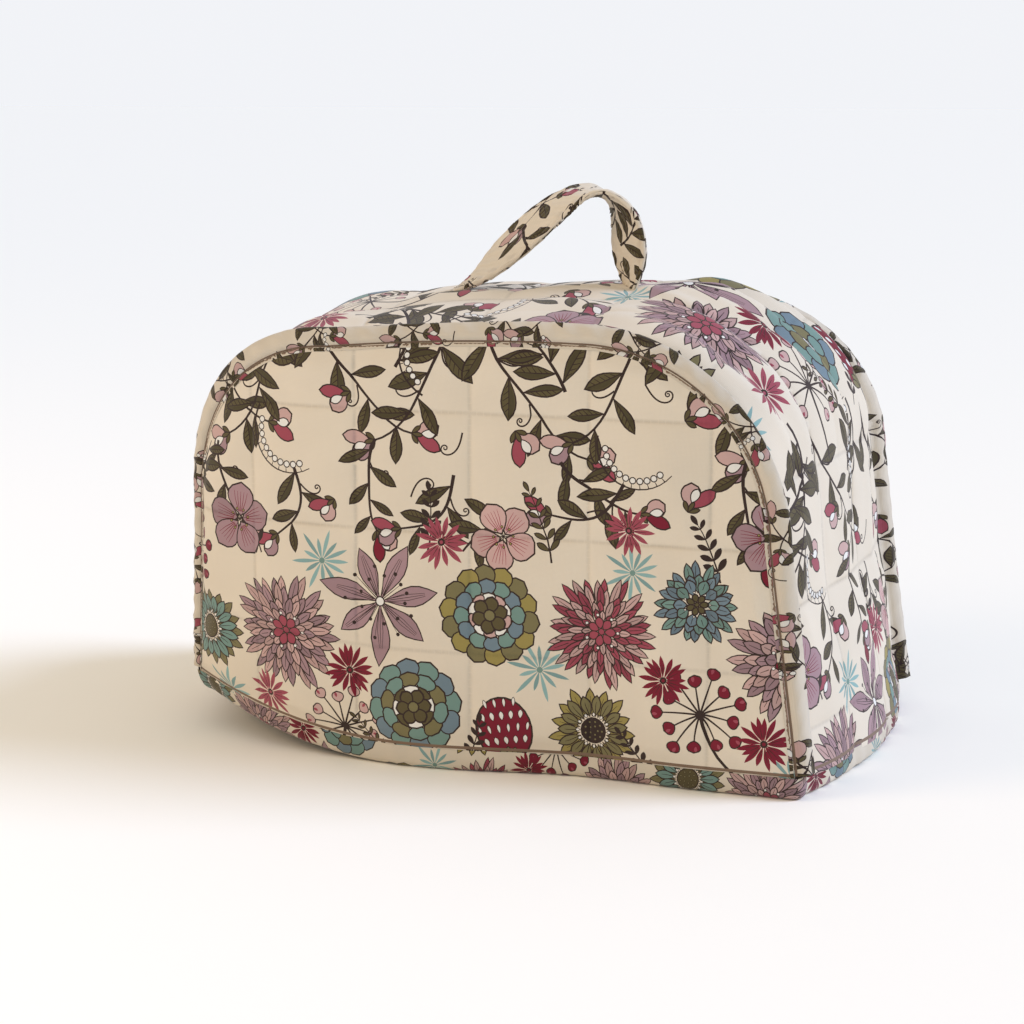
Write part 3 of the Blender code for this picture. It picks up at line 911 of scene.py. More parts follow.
@dataclass
class CutCloth:
    """Flat printed cloth as triangles: points in cm, faces, and each face's colour."""

    points: np.ndarray
    faces: np.ndarray
    colours: np.ndarray

    @classmethod
    def cut(cls, outline: np.ndarray, patches: list[Patch], spacing: float,
            plain_edges: bool = False) -> CutCloth:
        """Cut a piece out of the printed cloth.

        Args:
            outline: the piece's outline, anticlockwise, in cm.
            patches: the printed shapes, the lowest first.
            spacing: the greatest distance between points, in cm.
            plain_edges: leave the edges of the squares without steps.

        Returns:
            The piece, each triangle in the colour of the shape on top there.
        """
        low, high = outline.min(0) - OUTLINE_MARGIN, outline.max(0) + OUTLINE_MARGIN
        count = np.maximum(np.ceil((high - low) / TILE).astype(int), 1)
        size = (high - low) / count
        per_side = np.maximum(np.ceil(size / spacing).astype(int), 1)
        per_edge = np.ones_like(per_side) if plain_edges else per_side
        boxes = np.array([[*patch.outline.min(0), *patch.outline.max(0)] for patch in patches])
        shades = [Dye.CLOTH.linear()] + [patch.dye.linear(patch.tone) for patch in patches]
        corners: list[np.ndarray] = []
        colours: list[tuple[float, float, float]] = []
        for column in range(count[0]):
            for row in range(count[1]):
                start = low + size * (column, row)
                near = []
                if len(boxes):
                    touches = (boxes[:, :2] < start + size).all(1) & (boxes[:, 2:] > start).all(1)
                    near = np.nonzero(touches)[0].tolist()
                square = Square(start, size, per_side, per_edge)
                made, faces, tops = square.triangles(outline, [patches[k].outline for k in near])
                corners.append(made[faces].reshape(-1, 2))
                colours.extend(shades[near[top] + 1 if top >= 0 else 0] for top in tops)
        points, index = joined(np.concatenate(corners))
        faces = index.reshape(-1, 3)
        whole = (faces[:, 0] != faces[:, 1]) & (faces[:, 1] != faces[:, 2]) & (faces[:, 2] != faces[:, 0])
        faces, kept_colours = faces[whole], np.array(colours)[whole]
        _, single = np.unique(np.sort(faces, axis=1), axis=0, return_index=True)
        single.sort()
        return cls(points, faces[single], kept_colours[single])

    def rim(self) -> list[int]:
        """The points of the outline, in order round it."""
        edges = np.concatenate([self.faces[:, [0, 1]], self.faces[:, [1, 2]], self.faces[:, [2, 0]]])
        count = len(self.points)
        forward = edges[:, 0] * count + edges[:, 1]
        backward = edges[:, 1] * count + edges[:, 0]
        single = edges[~np.isin(forward, backward)]
        following = dict(single.tolist())
        longest: list[int] = []
        while following:
            start, step = following.popitem()
            loop = [start]
            while step != start and step in following:
                loop.append(step)
                step = following.pop(step)
            longest = max(longest, loop, key=len)
        return longest


@dataclass(frozen=True)
class Cloth:
    """A woven cotton finish that reads its print from a colour attribute."""

    name: str
    threads: float = 0.00052
    roughness: float = 0.82
    sheen: float = 0.18
    relief: float = 0.00006
    tone: float = 0.79
    stitched: bool = False

    def material(self) -> bpy.types.Material:
        """Build the node material."""
        made = bpy.data.materials.new(self.name)
        made.use_nodes = True
        tree = made.node_tree
        shader = tree.nodes["Principled BSDF"]
        shader.inputs["Roughness"].default_value = self.roughness
        shader.inputs["Sheen Weight"].default_value = self.sheen
        shader.inputs["Sheen Roughness"].default_value = 0.5
        shader.inputs["Specular IOR Level"].default_value = 0.25
        dyes = tree.nodes.new("ShaderNodeVertexColor")
        dyes.layer_name = "print"
        cloth_map = tree.nodes.new("ShaderNodeUVMap")
        cloth_map.uv_map = "cloth"
        warp = self.wave(tree, cloth_map, "X")
        weft = self.wave(tree, cloth_map, "Y")
        weave = self.maths(tree, "MULTIPLY", warp, weft)
        fuzz = self.noise(tree, cloth_map, 900.0, 3.0)
        blotch = self.noise(tree, cloth_map, 26.0, 3.0)
        height = self.maths(tree, "ADD", weave, self.maths(tree, "MULTIPLY", fuzz, 0.8))
        bump = tree.nodes.new("ShaderNodeBump")
        bump.inputs["Distance"].default_value = self.relief
        bump.inputs["Strength"].default_value = 0.8
        tree.links.new(height, bump.inputs["Height"])
        tree.links.new(bump.outputs["Normal"], shader.inputs["Normal"])
        if self.stitched:
            groove = self.grooves(tree, cloth_map)
            height = self.maths(tree, "ADD", height, self.maths(tree, "MULTIPLY", groove, -3.0))
            tree.links.new(height, bump.inputs["Height"])
        # Random blotches over an even tone; the bands' lower tone also stands in for painted shade
        blotch_and_tone = self.maths(tree, "MULTIPLY_ADD", blotch, 0.14, self.tone - 0.03)
        grain = self.maths(tree, "MULTIPLY_ADD", weave, 0.10, 0.95)
        shade = self.maths(tree, "MULTIPLY", blotch_and_tone, grain)
        # Darker along the sewn lines: painted shade in the quilting's grooves
        if self.stitched:
            groove_shade = self.maths(tree, "MULTIPLY_ADD", groove, -0.11, 1.0)
            shade = self.maths(tree, "MULTIPLY", shade, groove_shade)
        tint = tree.nodes.new("ShaderNodeMix")
        tint.data_type = "RGBA"
        tint.blend_type = "MULTIPLY"
        tint.inputs["Factor"].default_value = 1.0
        tree.links.new(dyes.outputs["Color"], tint.inputs["A"])
        tree.links.new(shade, tint.inputs["B"])
        tree.links.new(tint.outputs["Result"], shader.inputs["Base Color"])
        return made

    def grooves(self, tree: bpy.types.NodeTree, source: bpy.types.Node) -> bpy.types.NodeSocket:
        """The quilting's sewn lines, both ways: 1 on a stitch, 0 away from it. They dent the bump and
        darken the colour as painted shade.
        """
        split = tree.nodes.new("ShaderNodeSeparateXYZ")
        tree.links.new(source.outputs["UV"], split.inputs["Vector"])
        lines = []
        for along, across in (("Y", "X"), ("X", "Y")):
            nearest = self.maths(tree, "PINGPONG", split.outputs[across], 0.5 * QUILT_PITCH)
            line = self.eased(tree, nearest, 1.5 * MM)
            dash = self.maths(tree, "PINGPONG", split.outputs[along], 0.5 * STITCH)
            stitch = self.maths(tree, "MULTIPLY_ADD", self.eased(tree, dash, 0.45 * MM), -0.55, 1.0)
            lines.append(self.maths(tree, "MULTIPLY", line, stitch))
        return self.maths(tree, "MAXIMUM", lines[0], lines[1])

    @staticmethod
    def eased(tree: bpy.types.NodeTree, distance: bpy.types.NodeSocket,
              reach: float) -> bpy.types.NodeSocket:
        """1 where distance is 0, easing to 0 at reach."""
        node = tree.nodes.new("ShaderNodeMapRange")
        node.interpolation_type = "SMOOTHSTEP"
        node.inputs["From Max"].default_value = reach
        node.inputs["To Min"].default_value = 1.0
        node.inputs["To Max"].default_value = 0.0
        tree.links.new(distance, node.inputs["Value"])
        return node.outputs["Result"]

    def wave(self, tree: bpy.types.NodeTree, source: bpy.types.Node, axis: str) -> bpy.types.NodeSocket:
        """Threads that run across one axis of the cloth's own map."""
        node = tree.nodes.new("ShaderNodeTexWave")
        node.bands_direction = axis
        node.inputs["Scale"].default_value = 0.314 / self.threads
        node.inputs["Distortion"].default_value = 0.6
        node.inputs["Detail Scale"].default_value = 0.4
        tree.links.new(source.outputs["UV"], node.inputs["Vector"])
        return node.outputs["Fac"]

    @staticmethod
    def noise(tree: bpy.types.NodeTree, source: bpy.types.Node, scale: float,
              detail: float) -> bpy.types.NodeSocket:
        """Uneven light and dark over the cloth's own map."""
        node = tree.nodes.new("ShaderNodeTexNoise")
        node.inputs["Scale"].default_value = scale
        node.inputs["Detail"].default_value = detail
        tree.links.new(source.outputs["UV"], node.inputs["Vector"])
        return node.outputs["Fac"]

    @staticmethod
    def maths(tree: bpy.types.NodeTree, operation: str, first: bpy.types.NodeSocket,
              second: bpy.types.NodeSocket | float, third: float = 0.0) -> bpy.types.NodeSocket:
        """One sum on sockets or numbers."""
        node = tree.nodes.new("ShaderNodeMath")
        node.operation = operation
        tree.links.new(first, node.inputs[0])
        if isinstance(second, float):
            node.inputs[1].default_value = second
        else:
            tree.links.new(second, node.inputs[1])
        if operation == "MULTIPLY_ADD":
            node.inputs[2].default_value = third
        return node.outputs[0]


@dataclass(frozen=True)
class Outline:
    """The seam line of one panel, across and up in the cloth's own flat plane."""

    hem_left: float
    hem_right: float
    shoulder_left: float
    shoulder_right: float
    corner_left: float
    corner_right: float
    top: float
    peak: float

    def crest(self, across: np.ndarray | float) -> np.ndarray:
        """Height of the top seam, highest at the peak and falling to each side."""
        return self.top - TOP_CURVE * (across - self.peak) ** 2

    @staticmethod
    def side(hem: float, shoulder: float, corner: float, corner_top: float) -> np.ndarray:
        """One side, from the hem up to the end of its corner, x positive."""
        base = corner_top - corner
        rise = np.linspace(0.0, 1.0, 60)
        up = HEM_TALL + GAP + rise * (base - HEM_TALL - GAP)
        straight = np.stack([shoulder + (hem - shoulder) * (1.0 - rise), up], -1)
        angle = np.linspace(0.0, math.pi / 2, 60)[1:]
        across = shoulder - corner + corner * np.cos(angle)
        return np.concatenate([straight, np.stack([across, base + corner * np.sin(angle)], -1)])

    def seam(self, count: int = 700) -> np.ndarray:
        """The seam from the left of the hem over the top to the right of the hem."""
        left_top = self.crest(self.corner_left - self.shoulder_left)
        right_top = self.crest(self.shoulder_right - self.corner_right)
        left = self.side(self.hem_left, self.shoulder_left, self.corner_left, left_top)
        left[:, 0] *= -1.0
        right = self.side(self.hem_right, self.shoulder_right, self.corner_right, right_top)
        across = np.linspace(left[-1, 0], right[-1, 0], 120)
        top = np.stack([across, self.crest(across)], -1)
        return resample(np.concatenate([left, top[1:-1], right[::-1]]), count)


FRONT = Outline(
    hem_left=15.5 * CM,
    hem_right=14.4 * CM,
    shoulder_left=14.4 * CM,
    shoulder_right=13.1 * CM,
    corner_left=7.8 * CM,
    corner_right=8.2 * CM,
    top=19.0 * CM,
    peak=3.0 * CM,
)
BACK = Outline(
    hem_left=15.4 * CM,
    hem_right=16.0 * CM,
    shoulder_left=13.9 * CM,
    shoulder_right=14.4 * CM,
    corner_left=8.0 * CM,
    corner_right=6.8 * CM,
    top=19.1 * CM,
    peak=4.0 * CM,
)


def quilt(across: np.ndarray, up: np.ndarray) -> np.ndarray:
    """Height of the padding above the sewn lines of a square grid."""
    first = np.abs(np.sin(math.pi * across / QUILT_PITCH))
    second = np.abs(np.sin(math.pi * up / QUILT_PITCH))
    return QUILT_PUFF * (np.sqrt(first * second + 0.004) - 0.06)


def lift(x: np.ndarray, y: np.ndarray) -> np.ndarray:
    """Height of the hem above the surface: it lifts at the front's left corner only."""
    reach = np.hypot(x + 15.2 * CM, y + 4.8 * CM) / LIFT_REACH
    return HEM_LIFT * (1.0 - smooth(reach)) ** 1.2


def front_middle(across: np.ndarray, up: np.ndarray) -> np.ndarray:
    """A point of the front panel's middle surface."""
    steps = np.linspace(0.0, 1.0, 200)
    angle = TURN_ANGLE * steps**1.5
    run = np.concatenate([[0.0], np.cumsum(0.5 * (np.cos(angle[1:]) + np.cos(angle[:-1])))])
    back = np.concatenate([[0.0], np.cumsum(0.5 * (np.sin(angle[1:]) + np.sin(angle[:-1])))])
    scale = TURN_LENGTH / (len(steps) - 1)
    share = np.clip((TURN_START - across) / TURN_LENGTH, 0.0, 1.0)
    turned = TURN_START - np.interp(share, steps, run) * scale
    beyond = np.maximum(TURN_START - TURN_LENGTH - across, 0.0)
    x = np.where(across > TURN_START, across, turned - beyond * math.cos(TURN_ANGLE))
    depth = np.interp(share, steps, back) * scale + beyond * math.sin(TURN_ANGLE)
    wave = -0.3 * np.exp(-(((across + 2 * CM) / (3 * CM)) ** 2))
    wave = wave + 0.5 * np.exp(-(((across - 5 * CM) / (3.5 * CM)) ** 2))
    wave = wave * CM * (1.0 - smooth(up / (12 * CM)))
    y = FRONT_Y + depth * (1.0 - 0.25 * smooth(up / FRONT.top)) + wave
    share = np.clip((up - HEM_TALL) / (12 * CM), 0.0, 1.0)
    return np.stack([x, y, up + lift(x, y) * (1.0 - share) ** 2], -1)


def back_middle(across: np.ndarray, up: np.ndarray) -> np.ndarray:
    """A point of the back panel's middle surface."""
    slack = 2.5 * MM * np.sin(across / (4.2 * CM)) * (1.0 - smooth(up / (14 * CM)))
    return np.stack([across, BACK_Y + slack, up + 0.0 * across], -1)


Middle = Callable[[np.ndarray, np.ndarray], np.ndarray]


def facing(middle: Middle, across: np.ndarray, up: np.ndarray, side: int) -> np.ndarray:
    """Outward unit normals of a panel's middle surface.

    Args:
        middle: the surface.
        across: places across it.
        up: places up it.
        side: -1 for the front, 1 for the back.

    Returns:
        One normal for each place.
    """
    step = 0.2 * MM
    along = middle(across + step, up) - middle(across - step, up)
    rise = middle(across, up + step) - middle(across, up - step)
    return unit(np.cross(along, rise)) * -side


@dataclass
class Seam:
    """A panel's seam in space: its points, the way out and the panel's normal."""

    outline: Outline
    middle: Middle
    side: int

    def __post_init__(self) -> None:
        """Work out the seam once."""
        flat = self.outline.seam()
        ahead = unit(np.gradient(flat, axis=0))
        for _ in range(6):
            ahead[1:-1] = unit(ahead[:-2] + 2.0 * ahead[1:-1] + ahead[2:])
        away = np.stack([-ahead[:, 1], ahead[:, 0]], -1)
        self.points = self.middle(flat[:, 0], flat[:, 1])
        step = 0.5 * MM
        moved = flat + away * step
        self.out = unit(self.middle(moved[:, 0], moved[:, 1]) - self.points)
        self.normal = facing(self.middle, flat[:, 0], flat[:, 1], self.side)
        self.long = float(np.linalg.norm(np.diff(flat, axis=0), axis=1).sum())

    def at(self, share: np.ndarray) -> tuple[np.ndarray, np.ndarray, np.ndarray]:
        """Points, ways out and normals at shares of the seam's length."""
        read = (read_along(table, share) for table in (self.points, self.out, self.normal))
        return tuple(read)


@dataclass(frozen=True)
class Crease:
    """A soft fold in cloth: where it is, which way it runs and how far it stands up."""

    x: float
    y: float
    turn: float
    long: float
    wide: float
    tall: float

    def height(self, flat: np.ndarray) -> np.ndarray:
        """How far the fold raises points of the flat cloth, in metres."""
        c, s = math.cos(math.radians(self.turn)), math.sin(math.radians(self.turn))
        away = flat - (self.x * CM, self.y * CM)
        along = (away[:, 0] * c + away[:, 1] * s) / (0.5 * self.long * CM)
        bow = 0.12 * self.long * CM * (1.0 - along**2)
        across = (away[:, 1] * c - away[:, 0] * s - bow) / (0.5 * self.wide * CM)
        return self.tall * MM * np.exp(-(along**2) - across**2)


# Where the slack cloth folds: x, y and size in cm of each piece's flat cloth, height in mm
FRONT_CREASES = (
    Crease(-11.5, 9.0, 82, 15.0, 1.8, 1.4),
    Crease(-8.6, 7.5, 96, 12.0, 2.0, 0.9),
    Crease(-12.5, 4.0, 48, 7.0, 1.4, 0.9),
    Crease(-4.0, 3.2, 12, 10.0, 1.6, 0.7),
    Crease(6.0, 4.4, -8, 9.0, 1.8, 0.7),
    Crease(10.6, 12.0, 118, 9.0, 1.6, 0.8),
    Crease(-1.0, 16.4, 4, 12.0, 1.4, 0.6),
    Crease(9.8, 6.5, 80, 9.0, 1.5, 0.6),
)
GUSSET_CREASES = (
    Crease(2.6, 18.0, 92, 10.0, 1.3, 2.2),
    Crease(5.2, 17.0, 86, 12.0, 1.5, 1.8),
    Crease(7.9, 18.6, 95, 9.0, 1.4, 2.4),
    Crease(10.4, 17.6, 88, 11.0, 1.6, 2.0),
    Crease(13.1, 18.4, 93, 10.0, 1.4, 2.2),
    Crease(15.4, 16.6, 85, 9.0, 1.2, 1.8),
    Crease(4.0, 22.6, 72, 7.0, 1.2, 1.4),
    Crease(11.6, 23.4, 108, 7.0, 1.2, 1.4),
    Crease(6.4, 21.0, 64, 4.0, 0.8, 1.6),
    Crease(8.8, 21.4, 120, 4.0, 0.8, 1.6),
    Crease(3.2, 9.0, 78, 9.0, 1.4, 1.2),
    Crease(9.0, 8.0, 100, 10.0, 1.8, 1.2),
    Crease(14.2, 9.4, 82, 9.0, 1.5, 1.3),
    Crease(7.0, 4.0, 24, 7.0, 1.5, 1.0),
    Crease(7.0, 29.6, 88, 8.0, 1.4, 1.2),
    Crease(4.0, 34.0, 86, 10.0, 1.5, 1.6),
    Crease(10.0, 35.0, 94, 10.0, 1.6, 1.6),
    Crease(14.0, 33.0, 80, 9.0, 1.4, 1.4),
    Crease(8.0, 44.0, 80, 10.0, 1.8, 1.2),
)


@dataclass
class ClothPiece:
    """A piece of printed cloth: how it is cut, and the surface it is laid on.

    A sub-class gives outline, which is the cut in metres of flat cloth, and lay,
    which takes points of flat cloth to points in space.
    """

    name: str
    node: str
    shift: np.ndarray
    bolt: Bolt
    cloth_at: tuple[float, float] = (0.0, 0.0)
    cloth_turn: float = 0.0
    print_size: float = 1.0
    spacing: float = 2.4 * MM
    finish: str = "plain"
    slot: str = "binding_cloth"
    held: str = "folded"
    rests_on: tuple[str, ...] = ("gusset_top_cloth",)
    lined: bool = False
    creases: tuple[Crease, ...] = ()

    def outline(self) -> np.ndarray:
        """The cut's outline, anticlockwise, in metres of flat cloth."""
        raise NotImplementedError

    def lay(self, flat: np.ndarray, depth: float = 0.0) -> np.ndarray:
        """Points in space for points of the flat cloth, depth metres under its face."""
        raise NotImplementedError

    def ahead(self, flat: np.ndarray) -> np.ndarray:
        """Rough outward directions, which say which way the cloth faces."""
        raise NotImplementedError

    def flat_size(self) -> tuple[float, float]:
        """Width and length of the flat cut."""
        size = np.ptp(self.outline(), axis=0)
        return float(size.min()), float(size.max())

    def folds(self, flat: np.ndarray) -> np.ndarray:
        """Height of all creases at points of the flat cloth."""
        total = np.zeros(len(flat))
        for crease in self.creases:
            total += crease.height(flat)
        return total

    def normals(self, flat: np.ndarray) -> np.ndarray:
        """Outward unit normals of the laid cloth."""
        step = 0.25 * MM
        along = self.lay(flat + (step, 0.0)) - self.lay(flat - (step, 0.0))
        rise = self.lay(flat + (0.0, step)) - self.lay(flat - (0.0, step))
        normal = unit(np.cross(along, rise))
        facing_out = np.sign(np.sum(normal * self.ahead(flat), axis=1))
        return normal * (1.0 if facing_out.sum() > 0 else -1.0)

    def on_cloth(self, flat: np.ndarray) -> np.ndarray:
        """Where flat points of this piece lie on the bolt, in cm."""
        turn = math.radians(self.cloth_turn)
        c, s = math.cos(turn), math.sin(turn)
        return flat / (CM * self.print_size) @ np.array([[c, s], [-s, c]]) + self.cloth_at

    def from_cloth(self, cloth: np.ndarray) -> np.ndarray:
        """Flat points of this piece for places on the bolt."""
        turn = math.radians(self.cloth_turn)
        c, s = math.cos(turn), math.sin(turn)
        return (cloth - self.cloth_at) @ np.array([[c, -s], [s, c]]) * (CM * self.print_size)

    def weave_map(self, flat: np.ndarray) -> np.ndarray:
        """Places on the weave in metres, with the quilting's lines at whole pitches."""
        return flat

    def painted_shade_lines(self) -> list[np.ndarray]:
        """Outlines of the flat cloth that are painted dark as shade beside a seam, in metres."""
        return []

    def build(self, finishes: dict[str, bpy.types.Material]) -> bpy.types.Object:
        """Cut, lay and dress the piece.

        Args:
            finishes: the materials by name.

        Returns:
            The finished object.
        """
        cut_line = self.on_cloth(self.outline())
        patches = self.bolt.window(cut_line.min(0), cut_line.max(0))
        # Dark strips of painted shade beside the seams, laid over the print
        patches += [Patch(self.on_cloth(line), Dye.SHADE) for line in self.painted_shade_lines()]
        cut = CutCloth.cut(cut_line, patches, self.spacing / (CM * self.print_size))
        flat = self.from_cloth(cut.points)
        points = self.lay(flat)
        normals = self.normals(flat)
        faces = cut.faces
        first = points[faces]
        turned = np.cross(first[:, 1] - first[:, 0], first[:, 2] - first[:, 0])
        if np.sum(turned * normals[faces[:, 0]]) < 0:
            faces = faces[:, ::-1]
        colours = cut.colours
        if self.lined:
            points, normals, faces, colours, flat = self.add_reverse(
                cut, flat, points, normals, faces, colours
            )
        made = self.mesh_object(points + self.shift, normals, faces, colours, flat, len(cut.points))
        made.data.materials.append(finishes[self.finish])
        log.info("%s: %d faces, %d printed shapes", self.name, len(faces), len(patches))
        return made

    def add_reverse(self, cut: CutCloth, flat: np.ndarray, points: np.ndarray, normals: np.ndarray,
                    faces: np.ndarray, colours: np.ndarray) -> tuple[np.ndarray, ...]:
        """Close the piece with its plain reverse side and the edge between them."""
        rim = cut.rim()
        edge = cut.points[rim]
        back = CutCloth.cut(edge, [], 0.7, plain_edges=True)
        back_flat = self.from_cloth(back.points)
        back_points = self.lay(back_flat, CLOTH)
        back_normals = -self.normals(back_flat)
        count = len(points)
        away = np.abs(back.points[None, :, :] - edge[:, None, :]).sum(2)
        match = (count + away.argmin(1)).tolist()
        back_faces = back.faces + count
        flipped = np.sum(np.cross(
            back_points[back.faces[:, 1]] - back_points[back.faces[:, 0]],
            back_points[back.faces[:, 2]] - back_points[back.faces[:, 0]],
        ) * back_normals[back.faces[:, 0]]) < 0
        if flipped:
            back_faces = back_faces[:, ::-1]
        sides = []
        ahead = rim[1:] + rim[:1]
        below = match[1:] + match[:1]
        same_way = np.array_equal(faces, cut.faces)
        for a, b, c, d in zip(rim, ahead, match, below):
            pair = ((b, a, c), (b, c, d)) if same_way else ((a, b, c), (b, d, c))
            sides.extend(side for side in pair if len(set(side)) == 3)
        all_faces = np.concatenate([faces, back_faces, np.array(sides)])
        plain = np.tile(np.array(Dye.REVERSE.linear()), (len(back_faces) + len(sides), 1))
        return (
            np.concatenate([points, back_points]),
            np.concatenate([normals, back_normals]),
            all_faces,
            np.concatenate([colours, plain]),
            np.concatenate([flat, back_flat]),
        )

    def mesh_object(self, points: np.ndarray, normals: np.ndarray, faces: np.ndarray,
                    colours: np.ndarray, flat: np.ndarray, face_count: int) -> bpy.types.Object:
        """A smooth mesh with its print, the cloth's own map and a map for baking."""
        mesh = bpy.data.meshes.new(self.name)
        mesh.from_pydata(points.tolist(), [], faces.tolist())
        mesh.shade_smooth()
        dyes = mesh.color_attributes.new("print", "FLOAT_COLOR", "CORNER")
        shades = np.concatenate([colours, np.ones((len(colours), 1))], 1)
        dyes.data.foreach_set("color", np.repeat(shades, 3, axis=0).astype(np.float32).ravel())
        corners = faces.ravel()
        cloth_map = mesh.uv_layers.new(name="cloth")
        cloth_map.data.foreach_set("uv", self.weave_map(flat)[corners].astype(np.float32).ravel())
        bake_map = mesh.uv_layers.new(name="OFBake")
        placed = self.bake_places(flat, faces, face_count)
        bake_map.data.foreach_set("uv", placed.astype(np.float32).ravel())
        facing_out = mesh.attributes.new("custom_normal", "FLOAT_VECTOR", "POINT")
        facing_out.data.foreach_set("vector", normals.astype(np.float32).ravel())
        if mesh.validate():
            log.info("%s: mended", self.name)
        mesh.update()
        made = bpy.data.objects.new(self.name, mesh)
        bpy.context.scene.collection.objects.link(made)
        return made

    @staticmethod
    def bake_places(flat: np.ndarray, faces: np.ndarray, face_count: int) -> np.ndarray:
        """Where each corner lies on a square picture: the face in rows, the reverse above."""
        low = flat.min(0)
        size = flat.max(0) - low
        long_axis = int(size[1] > size[0])
        long, short = size[long_axis], size[1 - long_axis]
        usable = 0.86
        best = max(range(1, 12), key=lambda rows: min(rows / long, usable / (rows * short)))
        scale = min(best / long, usable / (best * short)) * 0.97
        along = (flat[:, long_axis] - low[long_axis])[faces]
        across = (flat[:, 1 - long_axis] - low[1 - long_axis])[faces]
        row = np.clip((along.mean(1) / long * best).astype(int), 0, best - 1)[:, None]
        u = 0.01 + (along - row * long / best) * scale
        v = 0.01 + across * scale + row * usable / best
        is_back = (faces.min(1) >= face_count) | (faces.max(1) >= face_count)
        u[is_back] = 0.01 + along[is_back] / long * 0.98
        v[is_back] = usable + 0.03 + across[is_back] / short * (0.95 - usable)
        return np.stack([u, v], -1).reshape(-1, 2)


@dataclass
class Panel(ClothPiece):
    """The front or back panel: a rounded-top piece of quilted cloth."""

    seam: Seam = None
    tuck: float = 2.0 * MM

    def outline(self) -> np.ndarray:
        """The seam line, with a bottom edge that goes down into the hem."""
        seam = resample(self.seam.outline.seam(), 260)[::-1]
        left, right = seam[-1], seam[0]
        bottom = np.linspace(left - (0.0, self.tuck), right - (0.0, self.tuck), 120)
        return np.concatenate([bottom, seam])

    def painted_shade_lines(self) -> list[np.ndarray]:
        """A strip of painted shade along the seam and one above the hem."""
        seam = resample(self.seam.outline.seam(), 260)
        ahead = unit(np.gradient(seam, axis=0))
        inwards = np.stack([ahead[:, 1], -ahead[:, 0]], -1)
        along_seam = np.concatenate([seam + inwards * 0.2 * MM, (seam + inwards * SHADE_STRIP_WIDE)[::-1]])
        left, right, low = seam[0, 0] + MM, seam[-1, 0] - MM, HEM_TALL + GAP
        corners = [(left, low), (right, low), (right, low + SHADE_STRIP_WIDE), (left, low + SHADE_STRIP_WIDE), (left, low)]
        return [along_seam, resample(np.array(corners), 300)[:-1]]

    def edge_share(self, flat: np.ndarray) -> np.ndarray:
        """How near points are to the seam: 0 on it, 1 from PUFF_REACH inwards."""
        seam = self.seam.outline.seam(260)
        nearest = np.full(len(flat), np.inf)
        for start in range(0, len(flat), 20000):
            some = flat[start:start + 20000]
            away = np.hypot(some[:, None, 0] - seam[None, :, 0], some[:, None, 1] - seam[None, :, 1])
            nearest[start:start + 20000] = away.min(1)
        low = np.maximum(flat[:, 1] - HEM_TALL, 0.0)
        return smooth(np.minimum(nearest, low) / PUFF_REACH)

    def lay(self, flat: np.ndarray, depth: float = 0.0) -> np.ndarray:
        """Points on the panel's outer face, or under it."""
        across, up = flat[:, 0], flat[:, 1]
        normal = facing(self.seam.middle, across, up, self.seam.side)
        face = 0.5 * CLOTH - depth
        if depth == 0.0:
            face = face + (1.7 * quilt(across, up) + 1.2 * self.folds(flat)) * self.edge_share(flat)
        else:
            face = np.full(len(flat), face)
        return self.seam.middle(across, up) + normal * face[:, None]

    def ahead(self, flat: np.ndarray) -> np.ndarray:
        """The panel's own outward normals."""
        return facing(self.seam.middle, flat[:, 0], flat[:, 1], self.seam.side)


